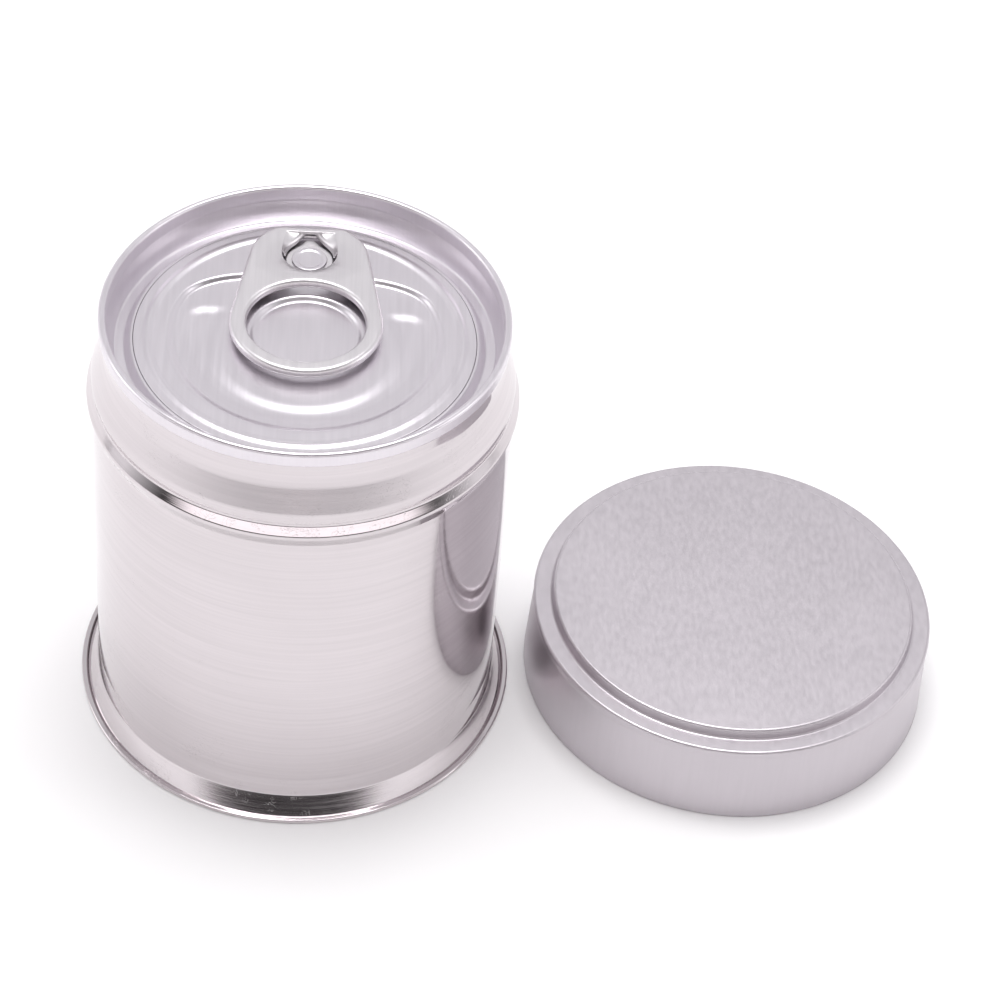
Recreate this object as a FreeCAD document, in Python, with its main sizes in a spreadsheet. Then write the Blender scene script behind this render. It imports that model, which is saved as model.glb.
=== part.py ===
"""Seamed metal can for a tennis ball, with a ring-pull end, and the metal overcap that goes with it.

Millimetres, +Z up. The origin is on the can's axis, on the surface that the can stands on.
The ring of the pull tab points to -Y and its nose to +Y. The overcap stands beside the can, towards +X.
"""
import FreeCAD, Part
import math
import os
import re

import Sketcher

V = FreeCAD.Vector
DOC = FreeCAD.newDocument("tennis_ball_can")

# ---------------------------------------------------------------- driving dimensions
SIZES = {
    # can shell
    "can_height": 94.7,
    "body_radius": 40.1,
    "body_sheet": 0.22,
    # neck and bead: the neck drops by its taper for each mm that it widens to the shoulder;
    # the other drops are measured down from the shoulder, and steps from the body's radius
    "neck_straight": 4.4,
    "neck_taper": 2.5962,
    "shoulder_inset": 0.15,
    "groove_drop": 2.0,
    "groove_inset": 0.5,
    "bead_drop": 4.15,
    "bead_rise": 0.85,
    "bead_foot_drop": 6.65,
    # flared foot of the shell and its outward flange
    "foot_height": 8.75,
    "foot_step": 0.35,
    "foot_step_height": 4.85,
    "foot_spread": 2.5,
    "flange_width": 0.75,
    # double seam at the top
    "rim_radius": 38.25,
    "seam_height": 3.0,
    "seam_gap": 0.06,
    "hook_clearance": 0.3,
    "cover_hook_clearance": 0.4,
    "compound_room": 0.45,
    # ring-pull end: insets are measured in from the chuck wall
    "end_sheet": 0.25,
    "panel_depth": 5.9,
    "score_inset": 4.92,
    "score_gap": 0.08,
    "panel_edge_inset": 4.32,
    "countersink_drop": 1.5,
    "countersink_inner_inset": 3.22,
    "countersink_outer_inset": 1.32,
    # stiffening bead and recesses pressed into the tear panel, in from the score
    "stiffening_bead_inset": 2.5,
    "stiffening_bead_width": 2.0,
    "stiffening_bead_rise": 0.25,
    "recess_inset": 5.8,
    "recess_chord_inset": 8.3,
    "recess_corner": 7.0,
    "recess_depth": 0.8,
    "horseshoe_inset": 2.4,
    "horseshoe_width": 7.5,
    "horseshoe_shift": 1.5,
    "horseshoe_end": 5.0,
    "horseshoe_depth": 0.35,
    "finger_well_inset": 0.3,
    "finger_well_depth": 0.8,
    "press_slope": 40.0,
    # pull tab, tongue and rivet: setbacks are measured back from the tab's nose
    "tab_sheet": 0.4,
    "tab_thickness": 2.0,
    "tab_curl": 0.95,
    "tab_clearance": 0.15,
    "ring_radius": 14.4,
    "finger_web": 3.1,
    "ring_width": 3.3,
    "nose_inset": 2.6,
    "nose_corner_radius": 9.2,
    "nose_corner_offset": 2.2,
    "nose_corner_setback": 8.3,
    "nose_corner_bend": 1.6,
    "rivet_setback": 7.7,
    "rivet_stem_radius": 1.9,
    "rivet_head_overhang": 1.5,
    "rivet_head_thickness": 0.35,
    "tongue_overhang": 1.1,
    "tongue_tip_setback": 2.4,
    "tongue_tip_width": 1.8,
    "tongue_slit": 0.9,
    "stack_gap": 0.02,
    # bottom end
    "bottom_sheet": 0.24,
    "hem_room": 0.17,
    "hem_overlap": 1.0,
    "bottom_panel_height": 3.2,
    "bottom_wall_inset": 0.45,
    "bottom_wall_lean": 1.35,
    "bottom_bead_inset": 12.15,
    "bottom_bead_width": 3.0,
    "bottom_bead_rise": 0.6,
    # overcap
    "cap_sheet": 0.35,
    "cap_height": 20.6,
    "cap_step_height": 2.1,
    "cap_room": 0.65,
    "cap_panel_inset": 4.15,
    "cap_step_width": 0.5,
    "cap_waist_inset": 0.15,
    "cap_waist_drop": 1.9,
    "cap_skirt_flare": 0.75,
    "cap_hem_width": 0.9,
    "cap_hem_height": 1.8,
    "cap_gap": 3.4,
    "cap_offset": 3.3,
}

SHEET = DOC.addObject("Spreadsheet::Sheet", "Sizes")
for row, (alias, value) in enumerate(SIZES.items(), start=1):
    SHEET.set(f"A{row}", alias)
    SHEET.set(f"B{row}", str(value))
    SHEET.setAlias(f"B{row}", alias)
DOC.recompute()

# Faces of the five sheet layers of the double seam, from the outside to the can's axis.
BODY_HOOK_INSIDE = "(rim_radius - end_sheet - seam_gap - body_sheet)"
COVER_HOOK_INSIDE = f"({BODY_HOOK_INSIDE} - seam_gap - end_sheet)"
BODY_WALL_OUTSIDE = f"({COVER_HOOK_INSIDE} - seam_gap)"
CHUCK_WALL_INSIDE = f"({BODY_WALL_OUTSIDE} - body_sheet - seam_gap - end_sheet)"
SEAM_BOTTOM = "(can_height - seam_height)"
BODY_HOOK_TOP = "(can_height - end_sheet - compound_room - body_sheet)"

# The neck runs down and out from the seam to the shoulder.
SHOULDER_RADIUS = "(body_radius - shoulder_inset)"
NECK_END = f"({SEAM_BOTTOM} - neck_straight)"
SHOULDER = f"({NECK_END} - ({SHOULDER_RADIUS} - {BODY_WALL_OUTSIDE}) * neck_taper)"

# Radii and reaches on the end, from its score inwards.
SCORE_RADIUS = f"({CHUCK_WALL_INSIDE} - score_inset)"
STIFFENING_BEAD_RADIUS = f"({SCORE_RADIUS} - stiffening_bead_inset)"
RECESS_RADIUS = f"({SCORE_RADIUS} - recess_inset)"
RECESS_CHORD = f"({RECESS_RADIUS} - recess_chord_inset)"
HORSESHOE_RADIUS = f"({RECESS_RADIUS} - horseshoe_inset)"
HORSESHOE_INNER_RADIUS = f"({HORSESHOE_RADIUS} - horseshoe_width)"
FINGER_HOLE_RADIUS = "(ring_radius - ring_width)"
FINGER_WELL_RADIUS = f"({FINGER_HOLE_RADIUS} - finger_well_inset)"
NOSE_REACH = f"({SCORE_RADIUS} - nose_inset)"
NOSE_CORNER_REACH = f"({NOSE_REACH} - nose_corner_setback)"
RIVET_REACH = f"({NOSE_REACH} - rivet_setback)"
TONGUE_TIP_REACH = f"({NOSE_REACH} - tongue_tip_setback)"
TONGUE_RADIUS = "(rivet_stem_radius + rivet_head_overhang + tongue_overhang)"
TONGUE_OPENING_RADIUS = f"({TONGUE_RADIUS} + tongue_slit)"
RING_OFFSET = f"({RIVET_REACH} - {TONGUE_OPENING_RADIUS} - finger_web - {FINGER_HOLE_RADIUS})"

# Levels of the end panel and of what is stacked on it.
PANEL = "(can_height - panel_depth)"
RECESS_FLOOR = f"({PANEL} - recess_depth)"
TONGUE_BOTTOM = f"({PANEL} + stack_gap)"
TONGUE_TOP = f"({TONGUE_BOTTOM} + tab_sheet)"
RIVET_HEAD_BOTTOM = f"({TONGUE_TOP} + stack_gap)"
TAB_BOTTOM = f"({PANEL} + stiffening_bead_rise + tab_clearance)"

# The foot of the shell, and the single hem that holds the bottom end.
FOOT_RADIUS = "(body_radius + foot_spread)"
FLANGE_RADIUS = f"({FOOT_RADIUS} + flange_width)"
HEM_RADIUS = f"({FLANGE_RADIUS} + hem_room + bottom_sheet)"
BOTTOM_WALL_RADIUS = f"({FOOT_RADIUS} - bottom_wall_inset)"
BOTTOM_BEAD_RADIUS = f"({BOTTOM_WALL_RADIUS} - bottom_bead_inset)"
FLANGE_TOP = "(bottom_sheet + seam_gap + body_sheet)"
HEM_TOP = f"({FLANGE_TOP} + seam_gap + bottom_sheet)"

# Radii of the overcap, which slips over the neck as far as the bead.
CAP_LEDGE_RADIUS = "(body_radius + cap_room)"
CAP_SKIRT_RADIUS = f"({CAP_LEDGE_RADIUS} + cap_skirt_flare)"
CAP_LEDGE_HEIGHT = "(cap_height - cap_step_height)"


def bound(expression):
    """The same expression with each size read from the sheet."""
    return re.sub(r"[a-z]\w*", lambda word: "Sizes." + word.group(0), expression)


def size(expression):
    """The value of an expression in sizes, in mm."""
    return float(SHEET.evalExpression(bound(expression)))


# ---------------------------------------------------------------- pressed sheet
def constrain(sketch, name, expression, kind, *targets):
    """Add a dimension to a sketch and tie it to the sheet."""
    number = sketch.addConstraint(Sketcher.Constraint(kind, *targets, size(expression)))
    sketch.renameConstraint(number, name)
    sketch.setExpression(f"Constraints.{name}", bound(expression))


def sheet_line(name, corners):
    """A sketch in the XZ plane: straight legs through the corners, each corner bent to its radius.

    A corner is (distance from the axis, height, inside bend radius or None).
    """
    sketch = DOC.addObject("Sketcher::SketchObject", name)
    sketch.Placement = FreeCAD.Placement(V(0, 0, 0), FreeCAD.Rotation(V(1, 0, 0), 90))
    points = [V(size(reach), size(height), 0) for reach, height, _ in corners]
    legs = [
        sketch.addGeometry(Part.LineSegment(start, end))
        for start, end in zip(points, points[1:])
    ]
    for leg, following in zip(legs, legs[1:]):
        sketch.addConstraint(Sketcher.Constraint("Coincident", leg, 2, following, 1))
    ends = [(leg, 1) for leg in legs] + [(legs[-1], 2)]
    for number, ((reach, height, _), end) in enumerate(zip(corners, ends)):
        if reach == "0":
            sketch.addConstraint(Sketcher.Constraint("PointOnObject", *end, -2))
        else:
            constrain(sketch, f"reach_{number}", reach, "DistanceX", -1, 1, *end)
        constrain(sketch, f"height_{number}", height, "DistanceY", -1, 1, *end)
    for number, (_, _, bend) in enumerate(corners):
        if bend is None:
            continue
        sketch.fillet(legs[number - 1], 2, bend, True, True)
        arcs = [i for i, g in enumerate(sketch.Geometry) if isinstance(g, Part.ArcOfCircle)]
        bend_dimension = Sketcher.Constraint("Radius", arcs[-1], bend)
        sketch.renameConstraint(sketch.addConstraint(bend_dimension), f"bend_{number}")
    return sketch


def turned(name, source):
    """The solid that a flat face makes when it is turned about the can's axis."""
    solid = DOC.addObject("Part::Revolution", name)
    solid.Source = source
    solid.Axis = V(0, 0, 1)
    solid.Base = V(0, 0, 0)
    solid.Angle = 360
    solid.Solid = True
    return solid


def pressed_shell(name, thickness, corners):
    """A round shell of sheet. The line is its outer face, and the sheet lies to the right of it."""
    wall = DOC.addObject("Part::Offset2D", name + "_wall")
    wall.Source = sheet_line(name + "_line", corners)
    wall.setExpression("Value", "-" + bound(thickness))
    wall.Fill = True
    wall.Mode = "Skin"
    wall.Join = "Arc"
    return turned(name, wall)


def named(solid, label):
    solid.Label = label
    return solid


# ---------------------------------------------------------------- can shell and its ends
def can_body():
    return named(pressed_shell("can_shell", "body_sheet", [
        (BODY_HOOK_INSIDE, f"{SEAM_BOTTOM} + end_sheet + hook_clearance", None),
        (BODY_HOOK_INSIDE, BODY_HOOK_TOP, 0.15),
        (BODY_WALL_OUTSIDE, BODY_HOOK_TOP, 0.15),
        (BODY_WALL_OUTSIDE, NECK_END, 8.0),
        (SHOULDER_RADIUS, SHOULDER, 3.0),
        ("body_radius - groove_inset", f"{SHOULDER} - groove_drop", 0.8),
        ("body_radius + bead_rise", f"{SHOULDER} - bead_drop", 1.1),
        ("body_radius", f"{SHOULDER} - bead_foot_drop", 0.8),
        ("body_radius", "foot_height", 0.6),
        ("body_radius + foot_step", "foot_step_height", 0.6),
        (FOOT_RADIUS, FLANGE_TOP, 0.4),
        (FLANGE_RADIUS, FLANGE_TOP, None),
    ]), "can_body")


def top_end_ring():
    countersink = f"{PANEL} - countersink_drop"
    return named(pressed_shell("end_ring", "end_sheet", [
        (f"{SCORE_RADIUS} + score_gap", PANEL, None),
        (f"{CHUCK_WALL_INSIDE} - panel_edge_inset", PANEL, 0.45),
        (f"{CHUCK_WALL_INSIDE} - countersink_inner_inset", countersink, 0.5),
        (f"{CHUCK_WALL_INSIDE} - countersink_outer_inset", countersink, 0.5),
        (CHUCK_WALL_INSIDE, SEAM_BOTTOM, 2.0),
        (CHUCK_WALL_INSIDE, "can_height", 0.7),
        ("rim_radius", "can_height", 0.7),
        ("rim_radius", SEAM_BOTTOM, 0.4),
        (COVER_HOOK_INSIDE, SEAM_BOTTOM, 0.4),
        (COVER_HOOK_INSIDE, f"{BODY_HOOK_TOP} - cover_hook_clearance", None),
    ]), "top_end_ring")


def bottom_end():
    bead = "bottom_panel_height + bottom_bead_rise"
    return named(pressed_shell("base_plate", "bottom_sheet", [
        ("0", "bottom_panel_height", None),
        (f"{BOTTOM_BEAD_RADIUS} - bottom_bead_width / 2", "bottom_panel_height", 0.8),
        (f"{BOTTOM_BEAD_RADIUS} - bottom_bead_width / 4", bead, 0.8),
        (f"{BOTTOM_BEAD_RADIUS} + bottom_bead_width / 4", bead, 0.8),
        (f"{BOTTOM_BEAD_RADIUS} + bottom_bead_width / 2", "bottom_panel_height", 0.8),
        (f"{BOTTOM_WALL_RADIUS} - bottom_wall_lean", "bottom_panel_height", 0.8),
        (BOTTOM_WALL_RADIUS, "bottom_sheet", 0.35),
        (f"{HEM_RADIUS} - bottom_sheet", "bottom_sheet", 0.12),
        (f"{HEM_RADIUS} - bottom_sheet", f"{HEM_TOP} - bottom_sheet", 0.12),
        (f"{HEM_RADIUS} - hem_overlap", f"{HEM_TOP} - bottom_sheet", None),
    ]), "bottom_end")


def ring_of_compound(label, inside, outside, low, high):
    bore = DOC.addObject("Part::Cylinder", label + "_bore")
    disc = DOC.addObject("Part::Cylinder", label + "_disc")
    for cylinder, radius in ((bore, inside), (disc, outside)):
        cylinder.setExpression("Radius", bound(radius))
        cylinder.setExpression("Height", bound(f"{high} - ({low})"))
        cylinder.setExpression("Placement.Base.z", bound(low))
    ring = DOC.addObject("Part::Cut", label + "_ring")
    ring.Base = disc
    ring.Tool = bore
    return named(ring, label)


def top_seam_compound():
    """Fills the room between the body hook's bend and the crown of the end."""
    return ring_of_compound(
        "top_seam_compound",
        f"{BODY_WALL_OUTSIDE} - body_sheet / 2", f"{BODY_HOOK_INSIDE} + body_sheet / 2",
        f"{BODY_HOOK_TOP} + body_sheet + seam_gap / 2",
        "(can_height - end_sheet - seam_gap * 2)",
    )


def bottom_seam_compound():
    """Fills the room between the flange's edge and the fold of the hem."""
    return ring_of_compound(
        "bottom_seam_compound",
        f"({FLANGE_RADIUS} + seam_gap / 2)", f"({HEM_RADIUS} - bottom_sheet - seam_gap / 2)",
        "(bottom_sheet + seam_gap)", f"({HEM_TOP} - bottom_sheet - seam_gap)",
    )


# ---------------------------------------------------------------- outlines seen from above
def flat_sketch(name, level):
    """An empty sketch that lies level at the given height."""
    sketch = DOC.addObject("Sketcher::SketchObject", name)
    sketch.setExpression("Placement.Base.z", bound(level))
    return sketch


def arc(centre, start, end):
    """The arc that runs counter-clockwise from start to end about centre."""
    circle = Part.Circle(centre, V(0, 0, 1), (start - centre).Length)
    angles = [math.atan2((p - centre).y, (p - centre).x) for p in (start, end)]
    return Part.ArcOfCircle(circle, *angles)


def join_loop(sketch, edges):
    """Close the edges into one loop, each tangent to the next."""
    for edge, following in zip(edges, edges[1:] + edges[:1]):
        sketch.addConstraint(Sketcher.Constraint("Tangent", edge, 2, following, 1))


def recess_outline(name, level):
    """A circle cut off by a chord at the back, with rounded corners."""
    radius, chord, corner = size(RECESS_RADIUS), size(RECESS_CHORD), size("recess_corner")
    side = math.sqrt((radius - corner) ** 2 - (chord - corner) ** 2)
    right, left = V(side, chord - corner, 0), V(-side, chord - corner, 0)
    far_right, far_left = (c * (radius / (radius - corner)) for c in (right, left))
    sketch = flat_sketch(name, level)
    big = sketch.addGeometry(arc(V(0, 0, 0), far_left, far_right))
    corner_right = sketch.addGeometry(arc(right, far_right, V(side, chord, 0)))
    back = sketch.addGeometry(Part.LineSegment(V(side, chord, 0), V(-side, chord, 0)))
    corner_left = sketch.addGeometry(arc(left, V(-side, chord, 0), far_left))
    join_loop(sketch, [big, corner_right, back, corner_left])
    sketch.addConstraint(Sketcher.Constraint("Coincident", big, 3, -1, 1))
    sketch.addConstraint(Sketcher.Constraint("Equal", corner_right, corner_left))
    constrain(sketch, "circle", RECESS_RADIUS, "Radius", big)
    constrain(sketch, "corner", "recess_corner", "Radius", corner_right)
    constrain(sketch, "chord", RECESS_CHORD, "DistanceY", -1, 1, back, 1)
    return sketch


def horseshoe_outline(name, level):
    """A crescent open at the back, between two circles, with round ends."""
    outer, inner = size(HORSESHOE_RADIUS), size(HORSESHOE_INNER_RADIUS)
    shift, end = size("horseshoe_shift"), size("horseshoe_end")
    tip = ((outer - inner) + (2 * end * shift + shift ** 2) / (outer + inner)) / 2
    side = math.sqrt((outer - tip) ** 2 - end ** 2)
    inner_centre = V(0, -shift, 0)
    right, left = V(side, end, 0), V(-side, end, 0)

    def outside(tip_centre):
        return tip_centre * (outer / (outer - tip))

    def inside(tip_centre):
        reach = tip_centre - inner_centre
        return inner_centre + reach * (inner / reach.Length)

    sketch = flat_sketch(name, level)
    outer_arc = sketch.addGeometry(arc(V(0, 0, 0), outside(left), outside(right)))
    right_end = sketch.addGeometry(arc(right, outside(right), inside(right)))
    inner_arc = sketch.addGeometry(arc(inner_centre, inside(left), inside(right)))
    left_end = sketch.addGeometry(arc(left, inside(left), outside(left)))
    for first, first_end, second, second_end in (
        (outer_arc, 2, right_end, 1), (right_end, 2, inner_arc, 2),
        (inner_arc, 1, left_end, 1), (left_end, 2, outer_arc, 1),
    ):
        sketch.addConstraint(
            Sketcher.Constraint("Tangent", first, first_end, second, second_end)
        )
    sketch.addConstraint(Sketcher.Constraint("Coincident", outer_arc, 3, -1, 1))
    sketch.addConstraint(Sketcher.Constraint("PointOnObject", inner_arc, 3, -2))
    constrain(sketch, "outer", HORSESHOE_RADIUS, "Radius", outer_arc)
    constrain(sketch, "inner", HORSESHOE_INNER_RADIUS, "Radius", inner_arc)
    constrain(sketch, "shift", "horseshoe_shift", "DistanceY", inner_arc, 3, -1, 1)
    constrain(sketch, "right_end", "horseshoe_end", "DistanceY", -1, 1, right_end, 3)
    constrain(sketch, "left_end", "horseshoe_end", "DistanceY", -1, 1, left_end, 3)
    return sketch


def tab_outline(sketch):
    """A round ring that narrows through straight sides and round shoulders to a blunt nose."""
    ring, offset = size("ring_radius"), size(RING_OFFSET)
    corner, across = size("nose_corner_radius"), size("nose_corner_offset")
    reach, nose = size(NOSE_CORNER_REACH), size(NOSE_REACH)
    ring_centre, shoulder = V(0, offset, 0), V(across, reach, 0)
    along = shoulder - ring_centre
    lean = math.atan2(along.y, along.x) - math.acos((ring - corner) / along.Length)
    outward = V(math.cos(lean), math.sin(lean), 0)
    low, high = ring_centre + outward * ring, shoulder + outward * corner
    tip = V(across + math.sqrt(corner ** 2 - (nose - reach) ** 2), nose, 0)

    def mirrored(point):
        return V(-point.x, point.y, 0)

    ring_arc = sketch.addGeometry(arc(ring_centre, mirrored(low), low))
    right_side = sketch.addGeometry(Part.LineSegment(low, high))
    right_shoulder = sketch.addGeometry(arc(shoulder, high, tip))
    front = sketch.addGeometry(Part.LineSegment(tip, mirrored(tip)))
    left_shoulder = sketch.addGeometry(arc(mirrored(shoulder), mirrored(tip), mirrored(high)))
    left_side = sketch.addGeometry(Part.LineSegment(mirrored(high), mirrored(low)))
    for first, second in (
        (ring_arc, right_side), (right_side, right_shoulder),
        (left_shoulder, left_side), (left_side, ring_arc),
    ):
        sketch.addConstraint(Sketcher.Constraint("Tangent", first, 2, second, 1))
    sketch.addConstraint(Sketcher.Constraint("Coincident", right_shoulder, 2, front, 1))
    sketch.addConstraint(Sketcher.Constraint("Coincident", front, 2, left_shoulder, 1))
    sketch.addConstraint(Sketcher.Constraint("Horizontal", front))
    sketch.addConstraint(Sketcher.Constraint("PointOnObject", ring_arc, 3, -2))
    sketch.addConstraint(
        Sketcher.Constraint("Symmetric", right_shoulder, 3, left_shoulder, 3, -2)
    )
    sketch.addConstraint(Sketcher.Constraint("Equal", right_shoulder, left_shoulder))
    constrain(sketch, "ring", "ring_radius", "Radius", ring_arc)
    constrain(sketch, "offset", RING_OFFSET, "DistanceY", -1, 1, ring_arc, 3)
    constrain(sketch, "shoulder", "nose_corner_radius", "Radius", right_shoulder)
    constrain(sketch, "across", "nose_corner_offset", "DistanceX", -1, 1, right_shoulder, 3)
    constrain(sketch, "reach", NOSE_CORNER_REACH, "DistanceY", -1, 1, right_shoulder, 3)
    constrain(sketch, "nose", NOSE_REACH, "DistanceY", -1, 1, front, 1)


def teardrop_outline(sketch, radius, tip_reach, tip_width):
    """A circle about the rivet, drawn out to a narrow blunt tip towards the nose."""
    around, centre = size(radius), V(0, size(RIVET_REACH), 0)
    tip = V(size(tip_width) / 2, size(tip_reach), 0)
    along = tip - centre
    lean = math.atan2(along.y, along.x) - math.acos(around / along.Length)
    low = centre + V(math.cos(lean), math.sin(lean), 0) * around
    mirrored_low, mirrored_tip = V(-low.x, low.y, 0), V(-tip.x, tip.y, 0)
    round_end = sketch.addGeometry(arc(centre, mirrored_low, low))
    right = sketch.addGeometry(Part.LineSegment(low, tip))
    front = sketch.addGeometry(Part.LineSegment(tip, mirrored_tip))
    left = sketch.addGeometry(Part.LineSegment(mirrored_tip, mirrored_low))
    sketch.addConstraint(Sketcher.Constraint("Tangent", round_end, 2, right, 1))
    sketch.addConstraint(Sketcher.Constraint("Tangent", left, 2, round_end, 1))
    sketch.addConstraint(Sketcher.Constraint("Coincident", right, 2, front, 1))
    sketch.addConstraint(Sketcher.Constraint("Coincident", front, 2, left, 1))
    sketch.addConstraint(Sketcher.Constraint("PointOnObject", round_end, 3, -2))
    sketch.addConstraint(Sketcher.Constraint("Symmetric", front, 1, front, 2, -2))
    constrain(sketch, "around", radius, "Radius", round_end)
    constrain(sketch, "centre", RIVET_REACH, "DistanceY", -1, 1, round_end, 3)
    constrain(sketch, "tip", tip_reach, "DistanceY", -1, 1, front, 1)
    constrain(sketch, "width", tip_width, "DistanceX", front, 2, front, 1)


# ---------------------------------------------------------------- tear panel
def tapered_recess(name, outline, depth):
    """The room that a press leaves: the outline at its top, narrowing downwards at the press slope."""
    room = DOC.addObject("Part::Extrusion", name)
    room.Base = outline
    room.DirMode = "Custom"
    room.Dir = V(0, 0, -1)
    room.Solid = True
    room.setExpression("LengthFwd", bound(depth))
    room.setExpression("TaperAngle", "-" + bound("press_slope"))
    return room


def pressed_rooms(name, lowered):
    """All of the tear panel's pressed recesses as one solid, lowered by the given amount."""
    floor = f"{RECESS_FLOOR} - {lowered}"
    recess = tapered_recess(
        name + "_recess", recess_outline(name + "_recess_line", f"{PANEL} - {lowered}"),
        "recess_depth",
    )
    horseshoe = tapered_recess(
        name + "_horseshoe", horseshoe_outline(name + "_horseshoe_line", floor),
        "horseshoe_depth",
    )
    well = DOC.addObject("Part::Cone", name + "_finger_well")
    well.setExpression("Radius1", bound(
        f"{FINGER_WELL_RADIUS} - finger_well_depth") + f" * tan({bound('press_slope')})")
    well.setExpression("Radius2", bound(FINGER_WELL_RADIUS))
    well.setExpression("Height", bound("finger_well_depth"))
    well.setExpression("Placement.Base.z", bound(f"{floor} - finger_well_depth"))
    well.setExpression("Placement.Base.y", bound(RING_OFFSET))
    rooms = DOC.addObject("Part::MultiFuse", name)
    rooms.Shapes = [recess, horseshoe, well]
    return rooms


def upright_cylinder(name, radius, bottom, height):
    """A cylinder about the rivet's axis."""
    cylinder = DOC.addObject("Part::Cylinder", name)
    cylinder.setExpression("Radius", bound(radius))
    cylinder.setExpression("Height", bound(height))
    cylinder.setExpression("Placement.Base.y", bound(RIVET_REACH))
    cylinder.setExpression("Placement.Base.z", bound(bottom))
    return cylinder


def tear_panel():
    """The disc inside the score, with its stiffening bead, its recesses and its integral rivet."""
    bead_top = f"{PANEL} + stiffening_bead_rise"
    disc = pressed_shell("panel_disc", "end_sheet", [
        ("0", PANEL, None),
        (f"{STIFFENING_BEAD_RADIUS} - stiffening_bead_width / 2", PANEL, 0.3),
        (f"{STIFFENING_BEAD_RADIUS} - stiffening_bead_width / 4", bead_top, 0.3),
        (f"{STIFFENING_BEAD_RADIUS} + stiffening_bead_width / 4", bead_top, 0.3),
        (f"{STIFFENING_BEAD_RADIUS} + stiffening_bead_width / 2", PANEL, 0.3),
        (SCORE_RADIUS, PANEL, None),
    ])
    stem = upright_cylinder(
        "rivet_stem", "rivet_stem_radius", f"{PANEL} - end_sheet / 2",
        f"{RIVET_HEAD_BOTTOM} - {PANEL} + end_sheet",
    )
    head = upright_cylinder(
        "rivet_head", "rivet_stem_radius + rivet_head_overhang", RIVET_HEAD_BOTTOM,
        "rivet_head_thickness",
    )
    metal = DOC.addObject("Part::MultiFuse", "panel_metal")
    metal.Shapes = [disc, pressed_rooms("pressed_under", "end_sheet"), stem, head]
    panel = DOC.addObject("Part::Cut", "pressed_panel")
    panel.Base = metal
    panel.Tool = pressed_rooms("pressed_over", "0")
    return named(panel, "tear_panel")


# ---------------------------------------------------------------- pull tab and its tongue
def body_plane(body, role):
    return next(f for f in body.Origin.OriginFeatures if f.Role == role)


def body_sketch(body, name, level):
    """A sketch of the body that lies level at the given height."""
    sketch = body.newObject("Sketcher::SketchObject", name)
    sketch.AttachmentSupport = [(body_plane(body, "XY_Plane"), "")]
    sketch.MapMode = "FlatFace"
    sketch.setExpression("AttachmentOffset.Base.z", bound(level))
    return sketch


def pad(body, sketch, name, length):
    feature = body.newObject("PartDesign::Pad", name)
    feature.Profile = sketch
    feature.setExpression("Length", bound(length))
    return feature


def cut_up(body, sketch, name, length):
    """A pocket that runs upwards from its sketch."""
    feature = body.newObject("PartDesign::Pocket", name)
    feature.Profile = sketch
    feature.Reversed = True
    feature.setExpression("Length", bound(length))
    return feature


def circle_in(sketch, name, radius, reach):
    """A circle on the line from the can's axis to the nose."""
    circle = sketch.addGeometry(Part.Circle(V(0, size(reach), 0), V(0, 0, 1), size(radius)))
    sketch.addConstraint(Sketcher.Constraint("PointOnObject", circle, 3, -2))
    constrain(sketch, name + "_radius", radius, "Radius", circle)
    constrain(sketch, name + "_reach", reach, "DistanceY", -1, 1, circle, 3)


def tab_island():
    """The tongue of the tab that the rivet clamps to the tear panel."""
    body = DOC.addObject("PartDesign::Body", "tongue")
    outline = body_sketch(body, "tongue_outline", TONGUE_BOTTOM)
    teardrop_outline(outline, TONGUE_RADIUS, TONGUE_TIP_REACH, "tongue_tip_width")
    circle_in(outline, "rivet_hole", "rivet_stem_radius + stack_gap", RIVET_REACH)
    DOC.recompute()
    pad(body, outline, "tongue_plate", "tab_sheet")
    return named(body, "tab_island")


def pull_tab():
    """The lever: curled edges round the outside and round the finger hole, a thin web between."""
    body = DOC.addObject("PartDesign::Body", "lever")
    outline = body_sketch(body, "lever_outline", TAB_BOTTOM)
    tab_outline(outline)
    circle_in(outline, "finger_hole", FINGER_HOLE_RADIUS, RING_OFFSET)
    DOC.recompute()
    blank = pad(body, outline, "lever_blank", "tab_thickness")
    DOC.recompute()
    nose = size(NOSE_REACH)
    corners = body.newObject("PartDesign::Fillet", "nose_corners")
    corners.Base = (blank, [
        f"Edge{n}" for n, edge in enumerate(blank.Shape.Edges, start=1)
        if all(abs(v.Y - nose) < 1e-4 for v in edge.Vertexes)
        and abs(edge.BoundBox.ZLength - size("tab_thickness")) < 1e-4
    ])
    corners.setExpression("Radius", bound("nose_corner_bend"))
    DOC.recompute()
    curl = body.newObject("PartDesign::Fillet", "curled_edges")
    curl.Base = (corners, [
        f"Face{n}" for n, face in enumerate(corners.Shape.Faces, start=1)
        if abs(face.normalAt(0, 0).z) > 0.99
    ])
    curl.setExpression("Radius", bound("tab_curl"))
    DOC.recompute()
    hollow = body_sketch(body, "web_hollow_outline", f"{TAB_BOTTOM} - tab_clearance / 2")
    teardrop_outline(hollow, TONGUE_OPENING_RADIUS,
                     f"{NOSE_REACH} - tab_thickness * 1.05",
                     "tongue_tip_width + 4 * tongue_slit")
    DOC.recompute()
    cut_up(body, hollow, "tongue_opening", "tab_thickness + tab_clearance")
    return named(body, "pull_tab")


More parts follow.
